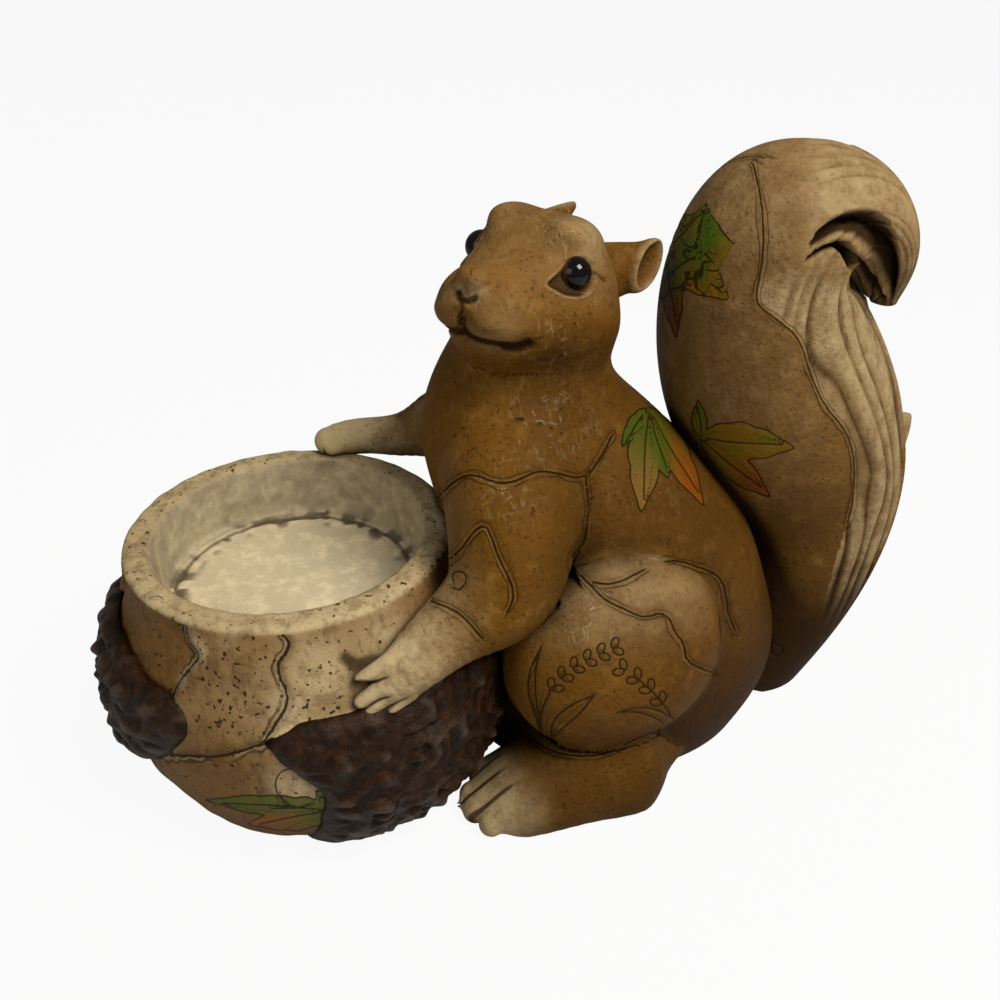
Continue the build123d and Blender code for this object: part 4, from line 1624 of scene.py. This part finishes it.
class FIGURINE_OT_tail(bpy.types.Operator):
    """Builds the tail: a smooth roll in front, a fringe of strands behind, and a hollow under the curl"""

    bl_idname = "figurine.tail"
    bl_label = "Tail"

    def execute(self, context):
        sizes = context.scene.figurine_sizes
        rows = [(x, 0.0, z, lean, depth, width) for x, z, lean, depth, width in TAIL_ROWS]
        path, length = path_spline(rows)
        count = place_rows(length, 0.9 * sizes.skin_step)
        cap = np.linspace(0, np.pi / 2, 12)[1:-1]
        share = np.concatenate([np.linspace(0, 1, count), np.ones(len(cap))])[:, None]
        rows = path(share[:, 0] * length)
        lean = np.radians(rows[:, 3])
        along = np.stack([np.sin(lean), 0 * lean, np.cos(lean)], -1)
        inward = np.stack([np.cos(lean), 0 * lean, -np.sin(lean)], -1)[:, None]
        middle = rows[:, :3] + np.concatenate([np.zeros(count), TIP_LENGTH * np.sin(cap)])[:, None] * along
        shrink = np.concatenate([np.ones(count), np.cos(cap)])[:, None]
        turn = np.linspace(-np.pi, np.pi, place_rows(180, 0.9 * sizes.skin_step), endpoint=False)[None]
        behind, aside = tail_section(turn)
        grid = middle[:, None] + (rows[:, 4:5] * shrink * behind)[..., None] * inward
        grid[..., 1] += rows[:, 5:6] * shrink * aside
        out = grid_normals(grid)
        fringe, hollow, ridge = (np.zeros(grid.shape[:2]) for _ in range(3))
        for uv, scale, facing in pictures(grid, out):
            off, side = off_drawn(uv, RIDGE)
            rear = smoothstep(-0.2, 1.4, -side * off / scale) * smoothstep(255, 300, uv[..., 1])
            top = 0.45 * smoothstep(795, 830, uv[..., 0]) * smoothstep(310, 260, uv[..., 1])
            fringe = np.maximum(fringe, np.where(facing, np.maximum(rear, top), 0))
            hollow = np.maximum(hollow, np.where(facing, curl_hollow(uv), 0))
            ridge = np.maximum(ridge, np.where(facing, bell(off / scale, RIDGE_WIDTH), 0))
        fringe = np.maximum(fringe, smoothstep(0.8, 0.95, behind + 0 * share)) * smoothstep(0.12, 0.26, share)
        flow = np.stack([7 * share + 0 * turn, 3 * behind + 0 * share, 2 * np.sign(turn) + 0 * share], -1)
        waver = lattice_noise(flow, 5)
        strand = np.abs(np.sin(11 * turn + 2.4 * waver + 0.4)) ** 0.6
        fine = np.abs(np.sin(29 * turn + 4.5 * waver))
        press = 0.7 + sizes.strand_depth * (1.2 * (1 - strand) + 0.35 * (1 - fine))
        edge = bell(turn, 0.14)
        rag = lattice_noise(np.stack([30 * share + 0 * turn, 3 * turn + 0 * share, 0 * share * turn], -1), 8)
        rag = 1.8 * rag * smoothstep(0.42, 0.48, share) * smoothstep(0.7, 0.62, share)
        rise = grid[..., 2] - LIP_HEIGHT
        notch = NOTCH_DEPTH * bell(rise - NOTCH_RISE, NOTCH_SPREAD)
        lip = (LIP_OUT * bell(rise, np.where(rise > 0, *LIP_SPREAD)) - notch) * (grid[..., 0] > REAR_X)
        nub = bell(share - NUB_AT[0], NUB_SPREAD[0]) * bell(np.abs(turn) - NUB_AT[1], NUB_SPREAD[1])
        grid = grid + out * (NUB_HEIGHT * nub + 0.5 * ridge - fringe * press - hollow)[..., None]
        grid = grid + inward * (edge * (rag + lip))[..., None]
        grid[..., 2] = np.maximum(grid[..., 2], BASE_Z)

        def whole(values):
            """Values of the grid, then of the points that close its ends."""
            return np.concatenate([values.ravel(), [0, 0]])

        # Dark between the strands, and a painted shadow in the hollow under the curl
        dark = whole(np.clip(0.75 * fringe * (1 - strand) ** 1.3 + hollow / 2.6, 0, 1))
        pale = whole(fringe * strand * smoothstep(3.0, 0.5, hollow) * 0.4)

        def wash_and_shade(p):
            """In the grooves; a painted shadow in the hollow under the curl, painted shade beside the back, and
            painted shade low down.
            """
            shade = 0.8 * bell(np.maximum(torso_field(p), 0), 6.0, 1.5)
            return dark + shade + 0.75 * smoothstep(85, 15, p[:, 2])

        def cream(p):
            """On the strands, and a little more toward the top as painted light from above."""
            return pale + 0.02 + 0.08 * smoothstep(70, 130, p[:, 2]) + 0.1 * smoothstep(150, 180, p[:, 2])

        fur_piece(context, "tail_plume", "tail", "tail", "tail", [grid], cream, wash_and_shade)
        return {"FINISHED"}


# Cracks of the nut's shell, in the picture's pixels; the second is the edge of a sunken plate to its left
CRACKS = [
    [
        (276, 630), (287, 640), (288, 652), (279, 662), (281, 682), (287, 700), (281, 716), (272, 730),
        (264, 744),
    ],
    [(183, 626), (187, 645), (196, 655), (186, 672), (172, 692), (168, 706)],
    [(168, 756), (200, 758), (240, 753), (266, 745)],
]
PLATE_CORNER = (215, 715)
NUT_CURL = [(300, 771), (284, 770), (276, 779), (277, 792), (287, 803), (300, 807), (311, 803)]
# Line of the painted shadow beside the thumb, above the paw
THUMB_SHADOW = [(345, 657), (356, 664), (372, 661)]
# Pale patches on the shell: middle in the picture, radius, strength
PALE_PATCHES = [
    ((322, 676), 44, 0.6), ((240, 690), 42, 0.25), ((295, 788), 26, 0.6), ((285, 712), 20, 0.5),
    ((160, 715), 14, 0.5), ((395, 640), 34, 0.5), ((110, 625), 12, 0.5), ((225, 640), 16, 0.2),
]
# Worn edges of the shell, dry-brushed pale
PALE_EDGES = [
    [(108, 606), (112, 632), (124, 654), (136, 671), (152, 692), (170, 706), (176, 722), (168, 744)],
    [(184, 628), (193, 640), (200, 652), (190, 664), (178, 680)],
    [(268, 741), (290, 733), (318, 726), (345, 720), (372, 716)],
]
# Pitted patches of the shell: middle in the picture, radius
PITTED_PATCHES = [((305, 718), 20), ((340, 714), 18), ((318, 680), 16), ((235, 690), 40), ((215, 660), 20)]
# Recess and rim from the middle of the floor outward: radius, height
BOWL_PROFILE = [
    (2.0, 66.2), (34.2, 66.2), (35.3, 65.7), (36.3, 66.5), (37.6, 66.7), (38.4, 68.0),
    (38.7, 72.0), (39.0, 84.4), (39.5, 85.6), (40.7, 86.0), (45.0, 86.0), (46.2, 85.5),
]
RIM_FOOT = 84.4
UNDERSIDE_RADII = (20.0, 2.0)


def bowl_profile(step):
    """Evenly spaced rows from the recess to the underside: radius, height, middle, place in the profile."""
    heights = np.linspace(RIM_FOOT, BASE_Z, 120)
    middle, radius = nut_rows(heights).T
    inside = [(r, z, BOWL_X) for r, z in BOWL_PROFILE]
    below = [(r, BASE_Z, BELLY_X) for r in UNDERSIDE_RADII]
    profile = np.concatenate([inside, np.stack([radius, heights, middle], -1), below])
    lengths = lengths_along(profile[:, :2])
    even = np.linspace(0, lengths[-1], place_rows(lengths[-1], step))
    columns = (*profile.T, np.arange(len(lengths)))
    return [np.interp(even, lengths, column)[:, None] for column in columns]


def shell_marks(points, normals, etched):
    """What is drawn on the shell: pale patches, pits, a painted shadow beside the thumb, etched lines with the
    curl.
    """
    pale = np.full(len(points), 0.16)
    pitted = np.zeros(len(points))
    thumb = np.zeros(len(points))
    for uv, scale, facing in pictures(points, normals):
        off, right = off_drawn(uv, NUT_CURL)
        etched = nearer_line(etched, off / scale, right, facing)
        off, _ = off_drawn(uv, THUMB_SHADOW)
        # Painted shadow beside the thumb
        thumb = np.maximum(thumb, facing * bell(off / scale, 1.7))
        for middle, radius, strength in PALE_PATCHES:
            pale = pale + facing * strength * patch(uv, middle, radius)
        for middle, radius in PITTED_PATCHES:
            pitted = np.maximum(pitted, facing * patch(uv, middle, radius))
        for line in PALE_EDGES:
            pale = pale + facing * 0.7 * bell(off_drawn(uv, line)[0], 7)
    return pale, pitted, thumb, etched


class FIGURINE_OT_bowl(bpy.types.Operator):
    """Builds the nut bowl: a profile over the rim and down the shell, turned about its axis"""

    bl_idname = "figurine.bowl"
    bl_label = "Nut bowl"

    def execute(self, context):
        colours = context.scene.figurine_colours
        step = 1.1 * context.scene.figurine_sizes.skin_step
        radius, height, middle, row = bowl_profile(step)
        turn = np.linspace(0, 2 * np.pi, place_rows(365, step), endpoint=False)[None]
        grid = np.stack([middle + radius * np.cos(turn), radius * np.sin(turn), height + 0 * turn], -1)
        out = grid_normals(grid)
        on_shell = smoothstep(11.0, 13.5, row) * smoothstep(0.5, 3.0, height)
        in_recess = smoothstep(8.4, 7.2, row)
        rim = smoothstep(7.5, 8.5, row) * smoothstep(12.5, 11.0, row)
        rough_floor = in_recess * smoothstep(31, 35, radius) * smoothstep(67.5, 66.5, height)
        cracks = no_lines(grid)
        plate = np.zeros(grid.shape[:2])
        for uv, scale, facing in pictures(grid, out):
            for line in CRACKS:
                off, right = off_drawn(uv, line)
                cracks = nearer_line(cracks, off / scale, right, facing)
            off, right = off_drawn(uv, CRACKS[1])
            beside = facing & (uv[..., 0] < PLATE_CORNER[0]) & (uv[..., 1] < PLATE_CORNER[1])
            plate = np.maximum(plate, beside * on_shell * smoothstep(-0.4, 1.2, right * off / scale))
        lumps = 0.7 * lattice_noise(grid / 13, 2) + 0.3 * lattice_noise(grid / 5, 4)
        grid = grid + out * (on_shell * (lumps - 1.3 * plate - 0.8 * bell(cracks[0], 1.2)))[..., None]
        rough = 0.35 * rim * lattice_noise(grid / 4, 6) + 0.5 * rough_floor * lattice_noise(grid / 2.6, 7)
        grid = grid + out * rough[..., None]
        grid[..., 2] = np.maximum(grid[..., 2], BASE_Z)
        out = grid_normals(grid)
        ends = end_points(grid)
        points = np.concatenate([grid.reshape(-1, 3), ends])
        normals = unit(np.concatenate([out.reshape(-1, 3), [(0, 0, 1), (0, 0, -1)]]))
        leaf, etched, leaf_colour = leaf_marks("nut", points, normals, colours)
        pale, pitted, thumb, etched = shell_marks(points, normals, etched)

        def whole(values, top=0.0, bottom=0.0):
            """Values of the grid, then of the points that close its top and bottom."""
            return np.concatenate([np.broadcast_to(values, grid.shape[:2]).ravel(), [top, bottom]])

        ring = 0.8 * bell(radius - 35.3, 0.9) * smoothstep(67.0, 66.4, height)
        dirt = 0.8 * bell(radius - 33.5, 3.5) * smoothstep(-0.15, 0.5, lattice_noise(grid / 3.5, 9))
        wall = 0.47 * smoothstep(36.0, 37.0, radius)
        # Recess walls painted darker than the floor; painted shadow beside the thumb, and painted shade low on
        # the shell and where the body lies against it
        wash_and_shade = whole(ring + in_recess * (wall + dirt)) + thumb + 0.5 * smoothstep(42, 6, points[:, 2])
        for name in ("torso", "foreleg_left", "foreleg_right"):
            wash_and_shade = wash_and_shade + 0.8 * bell(np.maximum(FIELDS[name](points), 0), 2.2, 1.2)
        # Less cream low on the shell: painted shade toward the bottom
        cream = pale + whole(0.6 * rim - 0.5 * plate) - 0.25 * smoothstep(40, 10, points[:, 2])
        marks = {
            "seam": whole(np.where(on_shell > 0.3, cracks[0], FAR), FAR, FAR),
            "seam_across": whole(cracks[1], FAR, FAR),
            "scratch": etched[0],
            "scratch_across": etched[1],
            "leaf": leaf,
            "leaf_paint": leaf_colour,
            "cream": np.clip(cream, 0, 1),
            "pitted": pitted,
            "recess": whole(in_recess, 1.0, 0.0),
            "wash_and_shade": np.clip(wash_and_shade, 0, 1),
        }
        settle(closed_mesh("nut_bowl_shell", [(grid, ends)], marks, nut_paint(colours)), "nut_bowl")
        return {"FINISHED"}


def layer_noise(flat, layer, seed):
    """Noise over flat points, on a layer of its own."""
    return lattice_noise(np.concatenate([flat, 0 * flat[..., :1] + layer], -1), seed)


class FIGURINE_OT_husks(bpy.types.Operator):
    """Builds the husk lobes: each a lumpy layer over the nut, rounded off at a ragged outline"""

    bl_idname = "figurine.husks"
    bl_label = "Husks"

    def execute(self, context):
        sizes, colours = context.scene.figurine_sizes, context.scene.figurine_colours
        fine = 0.75 * sizes.skin_step
        for layer, (name, (bearing, outline)) in enumerate(HUSKS.items()):
            turn = np.radians(bearing)
            facing = np.array((np.sin(turn), -np.cos(turn)))
            sideways = np.array((np.cos(turn), np.sin(turn)))
            edge = closed_line(outline, place_rows(260, fine))
            core = edge.mean(axis=0)
            over = np.linspace(0.02, 1.0, place_rows(42, fine))
            under = np.linspace(1.0, 0.1, 8)[1:]
            reach = np.concatenate([over, under])[:, None]
            on_top = np.concatenate([np.ones(len(over), bool), np.zeros(len(under), bool)])[:, None]
            flat = core + reach[..., None] * (edge - core)[None]
            rag = layer_noise(flat / 5.5, layer, 11)
            flat = flat + (0.04 * reach**4 * rag)[..., None] * (flat - core)
            height = np.clip(flat[..., 1], BASE_Z, BOWL_HEIGHT - 1)
            middle, radius = np.moveaxis(nut_rows(height), -1, 0)
            lumps = 2 * np.abs(layer_noise(flat / 5.0, 3.4 * layer, 12)) - 0.6
            lumps = lumps + 0.3 * layer_noise(flat / 2.1, 5 * layer, 13)
            thick = sizes.husk_thickness * np.sqrt(1 - np.clip(reach, 0, 1) ** 9) - 0.6
            thick = thick + sizes.husk_bump * lumps * (1 - reach**12)
            shell = radius + np.where(on_top, thick, -1.0)
            base = np.stack([BELLY_X - middle, 0 * middle], -1) + flat[..., :1] * sideways
            toward = base @ facing
            reach_out = -toward + np.sqrt(np.maximum(toward**2 - (base**2).sum(-1) + shell**2, 1.0))
            ground = base + reach_out[..., None] * facing
            grid = np.stack([ground[..., 0] + middle, ground[..., 1], height], -1)
            bump = np.concatenate([np.where(on_top, 0.5 + 0.5 * lumps, 0.0).ravel(), [0.5, 0.0]])
            parts = [(grid, end_points(grid))]
            settle(closed_mesh(f"{name}_lobe", parts, {"bump": bump}, husk_paint(colours)), name)
        return {"FINISHED"}


class FIGURINE_OT_fixings(bpy.types.Operator):
    """Finishes the dowels inside the figure and the felt pads under it"""

    bl_idname = "figurine.fixings"
    bl_label = "Dowels and pads"

    def execute(self, context):
        colours = context.scene.figurine_colours
        for name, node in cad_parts.items():
            for word, paint in (("dowel", dowel_paint), ("felt", felt_paint)):
                if word in name:
                    node.data.materials.clear()
                    node.data.materials.append(paint(colours))
        return {"FINISHED"}


def soft_lamp(name, at, energy, size, colour=(1.0, 1.0, 1.0)):
    """A square soft lamp turned to the middle of the figurine."""
    lamp = bpy.data.lights.new(name, "AREA")
    lamp.energy = energy
    lamp.size = size
    lamp.color = colour
    holder = bpy.data.objects.new(name, lamp)
    holder.location = at
    holder.rotation_euler = (Vector((0, 0, 0.08)) - holder.location).to_track_quat("-Z", "Y").to_euler()
    bpy.context.collection.objects.link(holder)


def camera_blend(tree, share, lit, shown, output):
    """Mixes two shaders: the first lights the scene, the second shows to the camera by a share."""
    rays = tree.nodes.new("ShaderNodeLightPath")
    weight = tree.nodes.new("ShaderNodeMath")
    weight.operation = "MULTIPLY"
    weight.inputs[1].default_value = share
    tree.links.new(rays.outputs["Is Camera Ray"], weight.inputs[0])
    blend = tree.nodes.new("ShaderNodeMixShader")
    for i, node in enumerate((weight, lit, shown)):
        tree.links.new(node.outputs[0], blend.inputs[i])
    tree.links.new(blend.outputs[0], tree.nodes[output].inputs["Surface"])


class FIGURINE_OT_stage(bpy.types.Operator):
    """Sets up the pale floor, the soft lights and the camera"""

    bl_idname = "figurine.stage"
    bl_label = "Stage"

    def execute(self, context):
        scene = context.scene
        scene.view_settings.view_transform = "Standard"
        camera = bpy.data.objects.new("camera", bpy.data.cameras.new("camera"))
        camera.data.sensor_width = 36.0
        camera.data.lens = 36.0
        turned = np.eye(4)
        turned[:3] = np.stack([CAMERA_RIGHT, CAMERA_UP, CAMERA_BACK, CAMERA_AT * MM], axis=-1)
        camera.matrix_world = Matrix(turned.tolist())
        context.collection.objects.link(camera)
        scene.camera = camera
        white = bpy.data.materials.new("floor_white")
        white.use_nodes = True
        plain = white.node_tree.nodes["Principled BSDF"]
        plain.inputs["Base Color"].default_value = (0.55, 0.55, 0.55, 1)
        plain.inputs["Roughness"].default_value = 0.9
        glow = white.node_tree.nodes.new("ShaderNodeEmission")
        camera_blend(white.node_tree, 0.93, plain, glow, "Material Output")
        mesh = bpy.data.meshes.new("floor")
        mesh.from_pydata([(-3, -3, 0), (3, -3, 0), (3, 3, 0), (-3, 3, 0)], [], [(0, 1, 2, 3)])
        mesh.materials.append(white)
        floor = bpy.data.objects.new("floor", mesh)
        context.collection.objects.link(floor)
        soft_lamp("key", (0.32, -0.45, 0.85), 10.0, 0.4, (1.0, 0.96, 0.9))
        soft_lamp("side", (-0.8, -0.5, 0.6), 2.0, 0.6)
        world = bpy.data.worlds.new("studio")
        world.use_nodes = True
        around = world.node_tree.nodes["Background"]
        around.inputs["Color"].default_value = (0.9, 0.9, 0.9, 1)
        around.inputs["Strength"].default_value = 0.16
        backdrop = world.node_tree.nodes.new("ShaderNodeBackground")
        backdrop.inputs["Color"].default_value = (1, 1, 1, 1)
        camera_blend(world.node_tree, 1.0, around, backdrop, "World Output")
        scene.world = world
        return {"FINISHED"}


PIECES = (
    FIGURINE_OT_bowl,
    FIGURINE_OT_husks,
    FIGURINE_OT_torso,
    FIGURINE_OT_tail,
    FIGURINE_OT_head,
    FIGURINE_OT_eyes,
    FIGURINE_OT_ears,
    FIGURINE_OT_hind_legs,
    FIGURINE_OT_forelegs,
    FIGURINE_OT_fixings,
    FIGURINE_OT_stage,
)


class FIGURINE_PT_panel(bpy.types.Panel):
    """Lists the steps that build the figurine"""

    bl_idname = "FIGURINE_PT_panel"
    bl_label = "Squirrel figurine"
    bl_space_type = "VIEW_3D"
    bl_region_type = "UI"
    bl_category = "Figurine"

    def draw(self, context):
        for step in PIECES:
            self.layout.operator(step.bl_idname)


CLASSES = (FigurineSizes, FigurineColours, *PIECES, FIGURINE_PT_panel)


def register():
    for cls in CLASSES:
        bpy.utils.register_class(cls)
    bpy.types.Scene.figurine_sizes = PointerProperty(type=FigurineSizes)
    bpy.types.Scene.figurine_colours = PointerProperty(type=FigurineColours)


def unregister():
    del bpy.types.Scene.figurine_colours
    del bpy.types.Scene.figurine_sizes
    for cls in reversed(CLASSES):
        bpy.utils.unregister_class(cls)


def main():
    """Builds every piece in order."""
    register()
    for step in PIECES:
        group, call = step.bl_idname.split(".")
        getattr(getattr(bpy.ops, group), call)()


if __name__ == "__main__":
    main()
